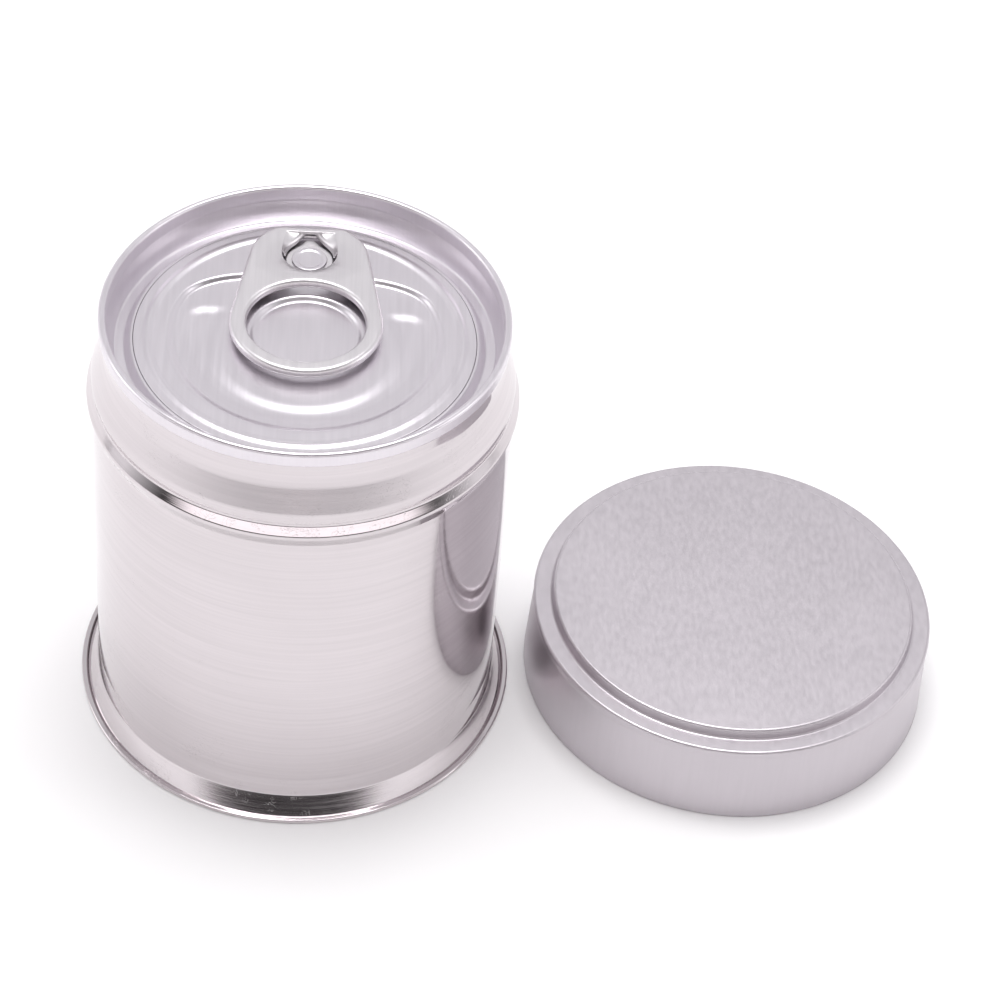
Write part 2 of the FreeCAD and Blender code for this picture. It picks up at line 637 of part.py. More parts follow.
# ---------------------------------------------------------------- overcap
def overcap():
    """A slip-on lid: raised panel, ledge, slightly waisted skirt and an inward hem."""
    lid = pressed_shell("lid", "cap_sheet", [
        ("0", "cap_height", None),
        (f"{CAP_LEDGE_RADIUS} - cap_panel_inset", "cap_height", 0.6),
        (f"{CAP_LEDGE_RADIUS} - cap_panel_inset + cap_step_width", CAP_LEDGE_HEIGHT, 0.5),
        (CAP_LEDGE_RADIUS, CAP_LEDGE_HEIGHT, 0.6),
        (f"{CAP_LEDGE_RADIUS} - cap_waist_inset", f"{CAP_LEDGE_HEIGHT} - cap_waist_drop", 3.0),
        (CAP_SKIRT_RADIUS, "0", 0.42),
        (f"{CAP_SKIRT_RADIUS} - cap_hem_width", "0", 0.42),
        (f"{CAP_SKIRT_RADIUS} - cap_hem_width", "cap_hem_height", None),
    ])
    lid.setExpression("Placement.Base.x", bound(f"{HEM_RADIUS} + cap_gap + {CAP_SKIRT_RADIUS}"))
    lid.setExpression("Placement.Base.y", bound("cap_offset"))
    return named(lid, "overcap")


def check(solids):
    """Stop if any object of the document failed, or if a piece isn't one sound solid."""
    for item in DOC.Objects:
        if {"Invalid", "Error"} & set(item.State):
            raise RuntimeError(f"{item.Name} failed: {item.State}")
    for solid in solids:
        if solid.Shape.isNull() or not solid.Shape.isValid() or solid.Shape.Volume <= 0:
            raise RuntimeError(f"{solid.Label} isn't a sound solid")


def main():
    makers = (
        can_body, top_end_ring, top_seam_compound, bottom_end, bottom_seam_compound,
        tear_panel, tab_island, pull_tab, overcap,
    )
    solids = [make() for make in makers]
    DOC.recompute()
    check(solids)
    os.makedirs("parts", exist_ok=True)
    for solid in solids:
        solid.Shape.exportStep(f"parts/{solid.Label}.step")
        print(f"{solid.Label}: {solid.Shape.Volume:.1f} mm3, {len(solid.Shape.Solids)} solid(s)")


main()
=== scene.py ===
"""Looks of a seamed metal ball can with a ring-pull end, and of its slip-on overcap.

Sizes inside the functions are in millimetres, and meshes are turned to metres as they are made.
"""

import math

import bmesh
import bpy
import numpy as np
from mathutils import Matrix, Vector


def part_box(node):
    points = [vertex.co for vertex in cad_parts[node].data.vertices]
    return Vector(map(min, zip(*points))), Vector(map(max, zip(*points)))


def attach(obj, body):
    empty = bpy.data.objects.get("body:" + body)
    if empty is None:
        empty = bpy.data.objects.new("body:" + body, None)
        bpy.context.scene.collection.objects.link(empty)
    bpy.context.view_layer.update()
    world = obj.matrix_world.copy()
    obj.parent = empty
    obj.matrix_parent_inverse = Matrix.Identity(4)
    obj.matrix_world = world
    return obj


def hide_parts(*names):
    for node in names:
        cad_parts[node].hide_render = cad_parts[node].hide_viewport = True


bl_info = {
    "name": "Ring-pull ball can",
    "version": (1, 0, 0),
    "blender": (4, 5, 0),
    "location": "View3D > Sidebar > Ball can",
    "description": "Builds the pressed sheet, the pull tab and the finishes of a ball can",
    "category": "Object",
}

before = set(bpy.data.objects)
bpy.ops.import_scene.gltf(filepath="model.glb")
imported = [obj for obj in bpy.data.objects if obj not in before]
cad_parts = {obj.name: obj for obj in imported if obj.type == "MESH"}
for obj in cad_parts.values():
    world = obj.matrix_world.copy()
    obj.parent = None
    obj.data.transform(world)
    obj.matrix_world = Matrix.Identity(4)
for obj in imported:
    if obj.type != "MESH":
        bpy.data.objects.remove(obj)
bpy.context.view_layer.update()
MM = 0.001


# ---- sizes that come from the frame
def corner_mm(node, which, axis):
    """One coordinate of a node's box in mm; which is 0 for the low corner and 1 for the high one."""
    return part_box(node)[which][axis] / MM


CAN_HEIGHT = corner_mm("top_end_ring", 1, 2)
RIM_RADIUS = corner_mm("top_end_ring", 1, 0)
COUNTERSINK_UNDERSIDE = corner_mm("top_end_ring", 0, 2)
BODY_TOP = corner_mm("can_body", 1, 2)
FLANGE_RADIUS = corner_mm("can_body", 1, 0)
FLANGE_BOTTOM = corner_mm("can_body", 0, 2)
HEM_RADIUS = min(
    abs(corner_mm("bottom_end", which, axis)) for which in (0, 1) for axis in (0, 1)
)
BASE_BEAD_TOP = corner_mm("bottom_end", 1, 2)
SCORE_RADIUS = corner_mm("tear_panel", 1, 0)
TONGUE_BOTTOM = corner_mm("tab_island", 0, 2)
TONGUE_TOP = corner_mm("tab_island", 1, 2)
TONGUE_RADIUS = corner_mm("tab_island", 1, 0)
RIVET_REACH = corner_mm("tab_island", 0, 1) + TONGUE_RADIUS
TONGUE_TIP = corner_mm("tab_island", 1, 1)
RIVET_TOP = corner_mm("tear_panel", 1, 2)
TAB_BOTTOM = corner_mm("pull_tab", 0, 2)
TAB_TOP = corner_mm("pull_tab", 1, 2)
RING_RADIUS = corner_mm("pull_tab", 1, 0)
RING_OFFSET = corner_mm("pull_tab", 0, 1) + RING_RADIUS
NOSE_REACH = corner_mm("pull_tab", 1, 1)
CAP_RADIUS = (corner_mm("overcap", 1, 0) - corner_mm("overcap", 0, 0)) / 2
CAP_X = (corner_mm("overcap", 1, 0) + corner_mm("overcap", 0, 0)) / 2
CAP_Y = (corner_mm("overcap", 1, 1) + corner_mm("overcap", 0, 1)) / 2
CAP_HEIGHT = corner_mm("overcap", 1, 2)

BODY_SHEET = 0.22
END_SHEET = 0.25
BASE_SHEET = 0.24
CAP_SHEET = 0.35
TAB_SHEET = 0.32
SEAM_GAP = 0.06
STACK_GAP = 0.02
PANEL = TONGUE_BOTTOM - STACK_GAP


# ---- settings a user may change
def length(name, description, default):
    return bpy.props.FloatProperty(
        name=name, description=description, default=default * MM, unit="LENGTH",
        subtype="DISTANCE", precision=5,
    )


def colour(name, description, default):
    return bpy.props.FloatVectorProperty(
        name=name, description=description, default=default, size=3, subtype="COLOR",
        min=0.0, max=1.0,
    )


def share(name, description, default):
    return bpy.props.FloatProperty(
        name=name, description=description, default=default, min=0.0, max=1.0, subtype="FACTOR",
    )


class CanShape(bpy.types.PropertyGroup):
    """Profile of the shell and its foot, and how finely pieces are turned."""

    shoulder_radius: length("Shoulder radius", "Radius where the neck ends", 39.95)
    shoulder_height: length("Shoulder height", "Height where the neck ends", 80.55)
    bead_radius: length("Bead radius", "Corner radius of the rolled bead", 40.95)
    bead_height: length("Bead height", "Height of the rolled bead", 76.4)
    body_radius: length("Body radius", "Radius of the straight wall", 40.1)
    foot_height: length("Foot height", "Height where the foot begins to step out", 8.75)
    foot_radius: length("Foot radius", "Radius of the foot just above the flange", 42.6)
    unevenness: length("Unevenness", "How far the thin wall strays from true round", 0.07)
    segments: bpy.props.IntProperty(
        name="Segments", description="Facets round the can", default=256, min=32, max=512,
    )


class PanelShape(bpy.types.PropertyGroup):
    """Beads and recesses pressed into the tear panel."""

    recess_radius: length("Recess radius", "Round part of the D-shaped recess", 26.1)
    recess_chord: length("Recess chord", "Straight back of the recess, from the axis", 17.8)
    recess_depth: length("Recess depth", "Depth of the D-shaped recess", 0.8)
    horseshoe_radius: length("Horseshoe radius", "Outer radius of the horseshoe", 23.7)
    horseshoe_inner: length("Horseshoe inner radius", "Inner radius of the horseshoe", 16.2)
    horseshoe_depth: length("Horseshoe depth", "Depth of the horseshoe", 0.35)
    well_radius: length("Finger well radius", "Radius of the well under the ring", 10.8)
    well_depth: length("Finger well depth", "Depth of the well under the ring", 0.8)
    bead_radius: length("Stiffening bead radius", "Radius of the raised ring", 29.4)
    bead_rise: length("Stiffening bead rise", "Height of the raised ring", 0.25)


class TabShape(bpy.types.PropertyGroup):
    """Curls and openings of the pull tab."""

    hole_radius: length("Finger hole radius", "Radius of the finger hole", 11.1)
    curl: length("Curl radius", "Outer radius of the curled edge", 0.95)
    slit: length("Slit", "Gap between the tongue and the web", 0.85)


class Finishes(bpy.types.PropertyGroup):
    """Colours and gloss of the metals."""

    tinplate: colour("Tinplate", "Colour of the tin-coated steel shell", (0.70, 0.655, 0.672))
    end_metal: colour("End", "Colour of the aluminium end", (0.78, 0.745, 0.785))
    tab_metal: colour("Tab", "Colour of the pull tab", (0.79, 0.765, 0.785))
    cap_metal: colour("Overcap", "Colour of the overcap", (0.60, 0.565, 0.597))
    compound: colour("Compound", "Colour of the seam compound", (0.40, 0.39, 0.37))
    tin_gloss: share("Tinplate roughness", "Roughness of the shell", 0.07)
    end_gloss: share("End roughness", "Roughness of the end", 0.30)
    tab_gloss: share("Tab roughness", "Roughness of the tab", 0.33)
    cap_gloss: share("Overcap roughness", "Roughness of the overcap", 0.40)


class StageSettings(bpy.types.PropertyGroup):
    """Camera, lights and floor."""

    focal: bpy.props.FloatProperty(
        name="Focal length", description="Lens in mm", default=108.6, subtype="DISTANCE_CAMERA",
    )
    pitch: bpy.props.FloatProperty(
        name="Pitch", description="How far the camera looks down", default=math.radians(44.262),
        subtype="ANGLE",
    )
    roll: bpy.props.FloatProperty(
        name="Roll", description="Turn about the view line", default=math.radians(5.430),
        subtype="ANGLE",
    )
    heading: bpy.props.FloatProperty(
        name="Heading", description="Turn of the whole view about the can's axis",
        default=math.radians(-4.5), subtype="ANGLE",
    )
    floor: colour("Floor", "Colour of the floor", (0.97, 0.97, 0.97))


GROUPS = {
    "can_shape": CanShape,
    "panel_shape": PanelShape,
    "tab_shape": TabShape,
    "finishes": Finishes,
    "stage_settings": StageSettings,
}


# ---- node groups
class Graph:
    """Short hand for wiring nodes in a tree."""

    def __init__(self, tree):
        self.tree = tree
        self.nodes = tree.nodes

    def add(self, kind, **settings):
        node = self.nodes.new(kind)
        for name, value in settings.items():
            setattr(node, name, value)
        return node

    def wire(self, source, target):
        self.tree.links.new(source, target)

    def put(self, value, target):
        """Wire a socket, or set a constant."""
        if isinstance(value, bpy.types.NodeSocket):
            self.wire(value, target)
        else:
            target.default_value = value

    def maths(self, operation, *values, clamp=False):
        node = self.add("ShaderNodeMath", operation=operation, use_clamp=clamp)
        for value, socket in zip(values, node.inputs):
            self.put(value, socket)
        return node.outputs[0]

    def vector(self, operation, *values):
        node = self.add("ShaderNodeVectorMath", operation=operation)
        for value, socket in zip(values, node.inputs):
            self.put(value, socket)
        return node.outputs[0]

    def noise(self, vector, scale, detail=2.0, roughness=0.5):
        node = self.add("ShaderNodeTexNoise")
        self.wire(vector, node.inputs["Vector"])
        self.put(scale, node.inputs["Scale"])
        node.inputs["Detail"].default_value = detail
        node.inputs["Roughness"].default_value = roughness
        return node.outputs["Fac"]

    def spread(self, value, low, high, new_low=0.0, new_high=1.0):
        node = self.add("ShaderNodeMapRange")
        self.put(value, node.inputs["Value"])
        for name, number in (
            ("From Min", low), ("From Max", high), ("To Min", new_low), ("To Max", new_high),
        ):
            self.put(number, node.inputs[name])
        return node.outputs["Result"]

    def scaled(self, vector, factor):
        node = self.add("ShaderNodeVectorMath", operation="SCALE")
        self.wire(vector, node.inputs[0])
        self.wire(factor, node.inputs["Scale"])
        return node.outputs[0]

    def joined(self, **parts):
        """A vector from some of its coordinates; the others are 0."""
        node = self.add("ShaderNodeCombineXYZ")
        for name, value in parts.items():
            self.wire(value, node.inputs[name])
        return node.outputs[0]

    def ramp(self, value, stops):
        """A colour ramp over a value, from pairs of position and colour."""
        node = self.add("ShaderNodeValToRGB")
        elements = node.color_ramp.elements
        while len(elements) < len(stops):
            elements.new(0.5)
        for element, (position, tint) in zip(elements, stops):
            element.position = position
            element.color = (*tint, 1.0)
        self.wire(value, node.inputs["Fac"])
        return node.outputs["Color"]

    def bump(self, height, distance, normal=None, invert=False):
        """A normal from a height whose distance is in mm, on top of another normal."""
        node = self.add("ShaderNodeBump", invert=invert)
        node.inputs["Distance"].default_value = distance * MM
        self.wire(height, node.inputs["Height"])
        if normal is not None:
            self.wire(normal, node.inputs["Normal"])
        return node.outputs["Normal"]

    def through(self, shape, kind, **values):
        """What comes out of a geometry node that a shape goes through."""
        node = self.add(kind)
        self.wire(shape, node.inputs["Geometry"])
        for name, value in values.items():
            self.put(value, node.inputs[name])
        return node.outputs["Geometry"]


def node_group(name, family, inputs, outputs):
    """A node group with its group nodes, ready to be filled."""
    tree = bpy.data.node_groups.new(name, family)
    for socket, kind, *default in inputs:
        made = tree.interface.new_socket(socket, in_out="INPUT", socket_type=kind)
        if default:
            made.default_value = default[0]
    for socket, kind in outputs:
        tree.interface.new_socket(socket, in_out="OUTPUT", socket_type=kind)
    graph = Graph(tree)
    return graph, graph.add("NodeGroupInput").outputs, graph.add("NodeGroupOutput").inputs


SHADER = "ShaderNodeTree"
FLOAT = "NodeSocketFloat"
VECTOR = "NodeSocketVector"


def rolled_grain_group():
    """Fine parallel lines left by rolling or polishing, as a height and a mask."""
    graph, given, out = node_group(
        "Rolled grain", SHADER,
        [("Position", VECTOR), ("Along", VECTOR, (1.0, 1.0, 1.0)),
         ("Fineness", FLOAT, 1.0)],
        [("Height", FLOAT), ("Streaks", FLOAT)],
    )
    stretched = graph.vector("MULTIPLY", given["Position"], given["Along"])
    fine = graph.noise(stretched, given["Fineness"], detail=3.0, roughness=0.65)
    coarse_scale = graph.maths("MULTIPLY", given["Fineness"], 0.22)
    coarse = graph.noise(stretched, coarse_scale, detail=2.0, roughness=0.5)
    both = graph.maths("ADD", graph.maths("MULTIPLY", fine, 0.65),
                       graph.maths("MULTIPLY", coarse, 0.35))
    graph.wire(both, out["Height"])
    graph.wire(graph.spread(coarse, 0.3, 0.7), out["Streaks"])
    return graph.tree


def handling_marks_group():
    """Sparse hairline scratches and smudges, as two masks."""
    graph, given, out = node_group(
        "Handling marks", SHADER,
        [("Position", VECTOR), ("Amount", FLOAT, 0.5)],
        [("Scratches", FLOAT), ("Smudges", FLOAT)],
    )
    total = None
    for turn, stretch, offset in ((0.4, 14.0, 3.1), (1.9, 18.0, 7.7), (2.7, 11.0, 12.3)):
        mapping = graph.add("ShaderNodeMapping")
        graph.wire(given["Position"], mapping.inputs["Vector"])
        mapping.inputs["Rotation"].default_value = (0.35 * turn, 0.8 * turn, turn)
        mapping.inputs["Location"].default_value = (offset, offset * 0.37, offset * 0.61)
        mapping.inputs["Scale"].default_value = (stretch, 1.0, stretch)
        line = graph.noise(mapping.outputs["Vector"], 90.0, detail=1.0)
        ridge = graph.maths("ABSOLUTE", graph.maths("SUBTRACT", line, 0.5))
        thin = graph.spread(ridge, 0.0, 0.006, 1.0, 0.0)
        patch = graph.spread(graph.noise(mapping.outputs["Vector"], 9.0), 0.60, 0.68)
        mark = graph.maths("MULTIPLY", thin, patch)
        total = mark if total is None else graph.maths("MAXIMUM", total, mark)
    graph.wire(graph.maths("MULTIPLY", total, given["Amount"]), out["Scratches"])
    cloud = graph.noise(given["Position"], 55.0, detail=4.0, roughness=0.55)
    graph.wire(graph.spread(cloud, 0.45, 0.75), out["Smudges"])
    return graph.tree


def soft_dents_group():
    """Slow waves of a thin sheet, as a height."""
    graph, given, out = node_group(
        "Soft dents", SHADER,
        [("Position", VECTOR), ("Size", FLOAT, 40.0)],
        [("Height", FLOAT)],
    )
    wave = graph.noise(given["Position"], given["Size"], detail=1.0, roughness=0.4)
    graph.wire(wave, out["Height"])
    return graph.tree


EFFECTS = {}


def effect(name):
    """The named shader group, built the first time that it is asked for."""
    makers = {
        "grain": rolled_grain_group,
        "marks": handling_marks_group,
        "dents": soft_dents_group,
    }
    if name not in EFFECTS:
        EFFECTS[name] = makers[name]()
    return EFFECTS[name]


# ---- materials
SMUDGE_TONE, SMUDGE_DULLING = -0.02, 0.04
SCRATCH_DEPTH, SCRATCH_DULLING = 0.01, 0.15


def principled(name):
    """A new material, its graph and its shader."""
    material = bpy.data.materials.new(name)
    material.use_nodes = True
    graph = Graph(material.node_tree)
    return material, graph, graph.nodes["Principled BSDF"]


def placed(graph, name, place, **values):
    """The outputs of a shared effect at a place, with values of its own."""
    node = graph.add("ShaderNodeGroup", node_tree=effect(name))
    graph.wire(place, node.inputs["Position"])
    for socket, value in values.items():
        node.inputs[socket].default_value = value
    return node.outputs


def metal(name, base, rough, along, fineness, grain_depth, dent_depth, dent_size,
          marks, rough_spread, tone_spread, anisotropy=0.0):
    """A metal with rolled grain, slow dents, hairline scratches and smudges; depths in mm."""
    material, graph, shader = principled(name)
    place = graph.add("ShaderNodeTexCoord").outputs["Object"]
    grain = placed(graph, "grain", place, Along=along, Fineness=fineness)
    wear = placed(graph, "marks", place, Amount=marks)
    dents = placed(graph, "dents", place, Size=dent_size)

    tone = graph.maths("MULTIPLY_ADD", grain["Streaks"], tone_spread, 1.0 - tone_spread)
    dulled = graph.maths("MULTIPLY_ADD", wear["Smudges"], SMUDGE_TONE, 1.0)
    shade = graph.maths("MULTIPLY", tone, dulled)
    grey = graph.add("ShaderNodeCombineColor")
    for channel in ("Red", "Green", "Blue"):
        graph.wire(shade, grey.inputs[channel])
    paint = graph.add("ShaderNodeMix", data_type="RGBA", blend_type="MULTIPLY")
    paint.inputs["Factor"].default_value = 1.0
    paint.inputs["A"].default_value = (*base, 1.0)
    graph.wire(grey.outputs["Color"], paint.inputs["B"])
    graph.wire(paint.outputs["Result"], shader.inputs["Base Color"])

    gloss = graph.maths("MULTIPLY_ADD", grain["Streaks"], rough_spread, rough - rough_spread / 2)
    gloss = graph.maths("MULTIPLY_ADD", wear["Smudges"], SMUDGE_DULLING, gloss)
    gloss = graph.maths("MULTIPLY_ADD", wear["Scratches"], SCRATCH_DULLING, gloss, clamp=True)
    graph.wire(gloss, shader.inputs["Roughness"])
    shader.inputs["Metallic"].default_value = 1.0
    shader.inputs["Anisotropic"].default_value = anisotropy

    slow = graph.bump(dents["Height"], dent_depth)
    fine = graph.bump(grain["Height"], grain_depth, slow)
    cut = graph.bump(wear["Scratches"], SCRATCH_DEPTH, fine, invert=True)
    graph.wire(cut, shader.inputs["Normal"])
    return material


def tinplate_material(finishes):
    """Tin-coated steel, with its grain round the can."""
    return metal(
        "Tinplate", finishes.tinplate, finishes.tin_gloss, (1.0, 1.0, 60.0), 110.0,
        grain_depth=0.003, dent_depth=0.22, dent_size=28.0, marks=0.8, anisotropy=0.35,
        rough_spread=0.06, tone_spread=0.07,
    )


def end_material(finishes):
    """Lacquered aluminium of the ring-pull end, with a faint grain in its rolling direction."""
    return metal(
        "Lacquered end", finishes.end_metal, finishes.end_gloss, (30.0, 1.0, 1.0), 260.0,
        grain_depth=0.0022, dent_depth=0.05, dent_size=60.0, marks=0.35,
        rough_spread=0.05, tone_spread=0.03,
    )


def tab_material(finishes):
    """Aluminium strip with its grain along the tab."""
    return metal(
        "Tab strip", finishes.tab_metal, finishes.tab_gloss, (40.0, 1.0, 1.0), 260.0,
        grain_depth=0.0028, dent_depth=0.03, dent_size=90.0, marks=0.3,
        rough_spread=0.06, tone_spread=0.04,
    )


def cap_material(finishes):
    """Matt satin sheet with a fine slanting grain."""
    return metal(
        "Overcap satin", finishes.cap_metal, finishes.cap_gloss, (22.0, 9.0, 1.6), 240.0,
        grain_depth=0.005, dent_depth=0.20, dent_size=24.0, marks=0.4,
        rough_spread=0.07, tone_spread=0.04,
    )


def compound_material(finishes):
    """Matt rubber-like sealing compound with fine pores."""
    material, graph, shader = principled("Seam compound")
    place = graph.add("ShaderNodeTexCoord").outputs["Object"]
    pores = graph.noise(place, 900.0, detail=4.0, roughness=0.6)
    dark = [channel * 0.8 for channel in finishes.compound]
    pale = [min(1.0, channel * 1.15) for channel in finishes.compound]
    graph.wire(graph.ramp(pores, ((0.0, dark), (1.0, pale))), shader.inputs["Base Color"])
    graph.wire(graph.spread(pores, 0.2, 0.8, 0.6, 0.85), shader.inputs["Roughness"])
    graph.wire(graph.bump(pores, 0.02), shader.inputs["Normal"])
    return material


MATERIAL_MAKERS = {
    "tinplate": tinplate_material,
    "end_aluminium": end_material,
    "tab_aluminium": tab_material,
    "overcap_metal": cap_material,
    "seam_compound": compound_material,
}
MATERIALS = {}


def finish_for(slot, context):
    """The material of a slot of the record, built once."""
    if slot not in MATERIALS:
        MATERIALS[slot] = MATERIAL_MAKERS[slot](context.scene.finishes)
    return MATERIALS[slot]


# ---- profiles of bent sheet
def bend_points(before, corner, after, radius):
    """The arc that rounds a corner, as points with their right-hand normals."""
    first, second = (corner - before).normalized(), (after - corner).normalized()
    turn = first.angle_signed(second)
    if radius <= 0 or abs(turn) < 1e-4:
        return [(corner, Vector((first.y, -first.x)))]
    cut = radius * math.tan(abs(turn) / 2)
    start = corner - first * cut
    side = -1.0 if turn > 0 else 1.0
    towards = Vector((-first.y, first.x)) * side
    centre = start + towards * radius
    steps = max(4, math.ceil(abs(turn) / math.radians(9)))
    points = []
    for step in range(steps + 1):
        angle = -turn * step / steps
        spoke = Matrix.Rotation(angle, 2) @ (start - centre)
        outward = spoke.normalized() * side
        points.append((centre + spoke, outward))
    return points


def bent_line(corners, spacing):
    """A line of straight legs and round bends, as points with right-hand normals.

    A leg is divided, and it gets a point close to each of its ends, so that its shading stays flat.
    """
    spots = [Vector((reach, height)) for reach, height, _ in corners]
    runs = [[(spots[0], None)]]
    for index in range(1, len(spots) - 1):
        runs.append(bend_points(spots[index - 1], spots[index], spots[index + 1],
                                corners[index][2]))
    runs.append([(spots[-1], None)])
    line = []
    for run, following in zip(runs, runs[1:]):
        line.extend(run if run[0][1] is not None else [])
        start, end = run[-1][0], following[0][0]
        leg = end - start
        if leg.length < 1e-6:
            continue
        normal = Vector((leg.y, -leg.x)).normalized()
        if run[0][1] is None:
            line.append((start, normal))
        edge = min(0.08, leg.length / 4)
        inner = max(1, math.ceil((leg.length - 2 * edge) / spacing))
        shares = [edge + (leg.length - 2 * edge) * n / inner for n in range(inner + 1)]
        line.extend((start + leg.normalized() * share, normal) for share in shares)
        if following[0][1] is None:
            line.append((end, normal))
    return line


def sheet_section(corners, thickness, spacing=3.0):
    """The closed outline of a bent sheet whose outer face is the line; the sheet is to its right."""
    line = bent_line(corners, spacing)
    outer = [point for point, _ in line]
    inner = [point + normal * thickness for point, normal in line]
    section = outer + inner[::-1]
    if outer[0].x > 1e-6:
        section.append(outer[0])
    return section


# ---- turned sheet by Geometry Nodes
MERGE_DISTANCE = 1e-7
WAVE_SCALE = 26.0


def turned_sheet_tree():
    """Turns a section about Z: the n-th row of a grid takes the n-th point's reach and height."""
    graph, given, out = node_group(
        "Turned sheet", "GeometryNodeTree",
        [("Section", "NodeSocketGeometry"), ("Points", "NodeSocketInt"),
         ("Segments", "NodeSocketInt"), ("Unevenness", FLOAT), ("Wave scale", FLOAT),
         ("Seed", FLOAT), ("Material", "NodeSocketMaterial")],
        [("Shell", "NodeSocketGeometry")],
    )
    around = graph.maths("ADD", given["Segments"], 1.0)
    grid = graph.add("GeometryNodeMeshGrid")
    graph.wire(given["Points"], grid.inputs["Vertices X"])
    graph.wire(around, grid.inputs["Vertices Y"])
    index = graph.add("GeometryNodeInputIndex").outputs["Index"]
    row = graph.maths("FLOOR", graph.maths("DIVIDE", graph.maths("ADD", index, 0.25), around))
    column = graph.maths("SUBTRACT", index, graph.maths("MULTIPLY", row, around))
    angle = graph.maths("DIVIDE", graph.maths("MULTIPLY", column, math.tau), given["Segments"])
    spot = graph.add("GeometryNodeInputPosition").outputs["Position"]
    sample = graph.add("GeometryNodeSampleIndex", data_type="FLOAT_VECTOR", domain="POINT")
    graph.wire(given["Section"], sample.inputs["Geometry"])
    graph.wire(spot, sample.inputs["Value"])
    graph.wire(row, sample.inputs["Index"])
    parts = graph.add("ShaderNodeSeparateXYZ")
    graph.wire(sample.outputs["Value"], parts.inputs[0])
    outward = graph.joined(X=graph.maths("COSINE", angle), Y=graph.maths("SINE", angle))
    lift = graph.joined(Z=parts.outputs["Z"])
    place = graph.vector("ADD", graph.scaled(outward, parts.outputs["X"]), lift)
    wave = graph.add("ShaderNodeTexNoise", noise_dimensions="4D")
    graph.wire(place, wave.inputs["Vector"])
    graph.wire(given["Seed"], wave.inputs["W"])
    graph.wire(given["Wave scale"], wave.inputs["Scale"])
    wave.inputs["Detail"].default_value = 1.0
    stray = graph.maths("MULTIPLY", graph.maths("SUBTRACT", wave.outputs["Fac"], 0.5),
                        given["Unevenness"])
    shifted = graph.vector("ADD", place, graph.scaled(outward, stray))
    shape = graph.through(grid.outputs["Mesh"], "GeometryNodeSetPosition", Position=shifted)
    shape = graph.through(shape, "GeometryNodeMergeByDistance", Distance=MERGE_DISTANCE)
    shape = graph.through(shape, "GeometryNodeSetShadeSmooth")
    shape = graph.through(shape, "GeometryNodeRealizeInstances")
    shape = graph.through(shape, "GeometryNodeSetMaterial", Material=given["Material"])
    graph.wire(shape, out["Shell"])
    return graph.tree


def link(name, data):
    """A new object of the scene with the given mesh, light or camera."""
    piece = bpy.data.objects.new(name, data)
    bpy.context.scene.collection.objects.link(piece)
    return piece


def evaluated_mesh(piece, modifier, context):
    """The piece's mesh with its modifier's result in it; the modifier is removed."""
    context.view_layer.update()
    evaluated = piece.evaluated_get(context.evaluated_depsgraph_get())
    mesh = bpy.data.meshes.new_from_object(evaluated)
    piece.modifiers.remove(modifier)
    return mesh


def finished_mesh(build, name):
    """A smooth mesh from a bmesh, which is freed."""
    for face in build.faces:
        face.smooth = True
    mesh = bpy.data.meshes.new(name)
    build.to_mesh(mesh)
    build.free()
    return mesh


def outward_facing(mesh):
    """Turn the mesh's faces outwards if it is inside out."""
    solid = bmesh.new()
    solid.from_mesh(mesh)
    if solid.calc_volume(signed=True) < 0:
        bmesh.ops.reverse_faces(solid, faces=solid.faces)
    solid.to_mesh(mesh)
    solid.free()


def turned_piece(name, section, material, context, centre=(0.0, 0.0), unevenness=None, seed=3.0):
    """A plain mesh made by turning a section, in mm, about a vertical axis."""
    shape = context.scene.can_shape
    tree = bpy.data.node_groups.get("Turned sheet") or turned_sheet_tree()
    outline = bpy.data.meshes.new(name + "_section")
    outline.from_pydata([(p.x * MM, 0.0, p.y * MM) for p in section], [], [])
    source = link(name + "_section", outline)
    modifier = source.modifiers.new("Turned sheet", "NODES")
    modifier.node_group = tree
    values = {
        "Points": len(section),
        "Segments": shape.segments,
        "Unevenness": shape.unevenness if unevenness is None else unevenness * MM,
        "Wave scale": WAVE_SCALE,
        "Seed": seed,
        "Material": material,
    }
    for socket in tree.interface.items_tree:
        if socket.in_out == "INPUT" and socket.name in values:
            modifier[socket.identifier] = values[socket.name]
    mesh = evaluated_mesh(source, modifier, context)
    bpy.data.objects.remove(source)
    mesh.name = name
    outward_facing(mesh)
    mesh.transform(Matrix.Translation((centre[0] * MM, centre[1] * MM, 0.0)))
    return link(name, mesh)


def settle(piece, body, slot, *nodes):
    """Put a finished piece on its body, in place of its CAD nodes."""
    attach(piece, body)
    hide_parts(*nodes)


def settle_turned(context, name, section, body, slot, node, **turning):
    """Turn a section into a piece, and put it on its body in place of a CAD node."""
    piece = turned_piece(name, section, finish_for(slot, context), context, **turning)
    settle(piece, body, slot, node)


# ---- shell, ends and overcap
def seam_faces():
    """Radii of the double seam's faces, from the outside to the axis."""
    hook_inside = RIM_RADIUS - END_SHEET - SEAM_GAP - BODY_SHEET
    cover_inside = hook_inside - SEAM_GAP - END_SHEET
    wall_outside = cover_inside - SEAM_GAP
    chuck_inside = wall_outside - BODY_SHEET - SEAM_GAP - END_SHEET
    return hook_inside, cover_inside, wall_outside, chuck_inside


SCORE_DROP = 0.05
SEAM_HEIGHT = 3.0
SEAM_BOTTOM = CAN_HEIGHT - SEAM_HEIGHT
HOOK_TOP = BODY_TOP - BODY_SHEET
FLANGE_TOP = FLANGE_BOTTOM + BODY_SHEET


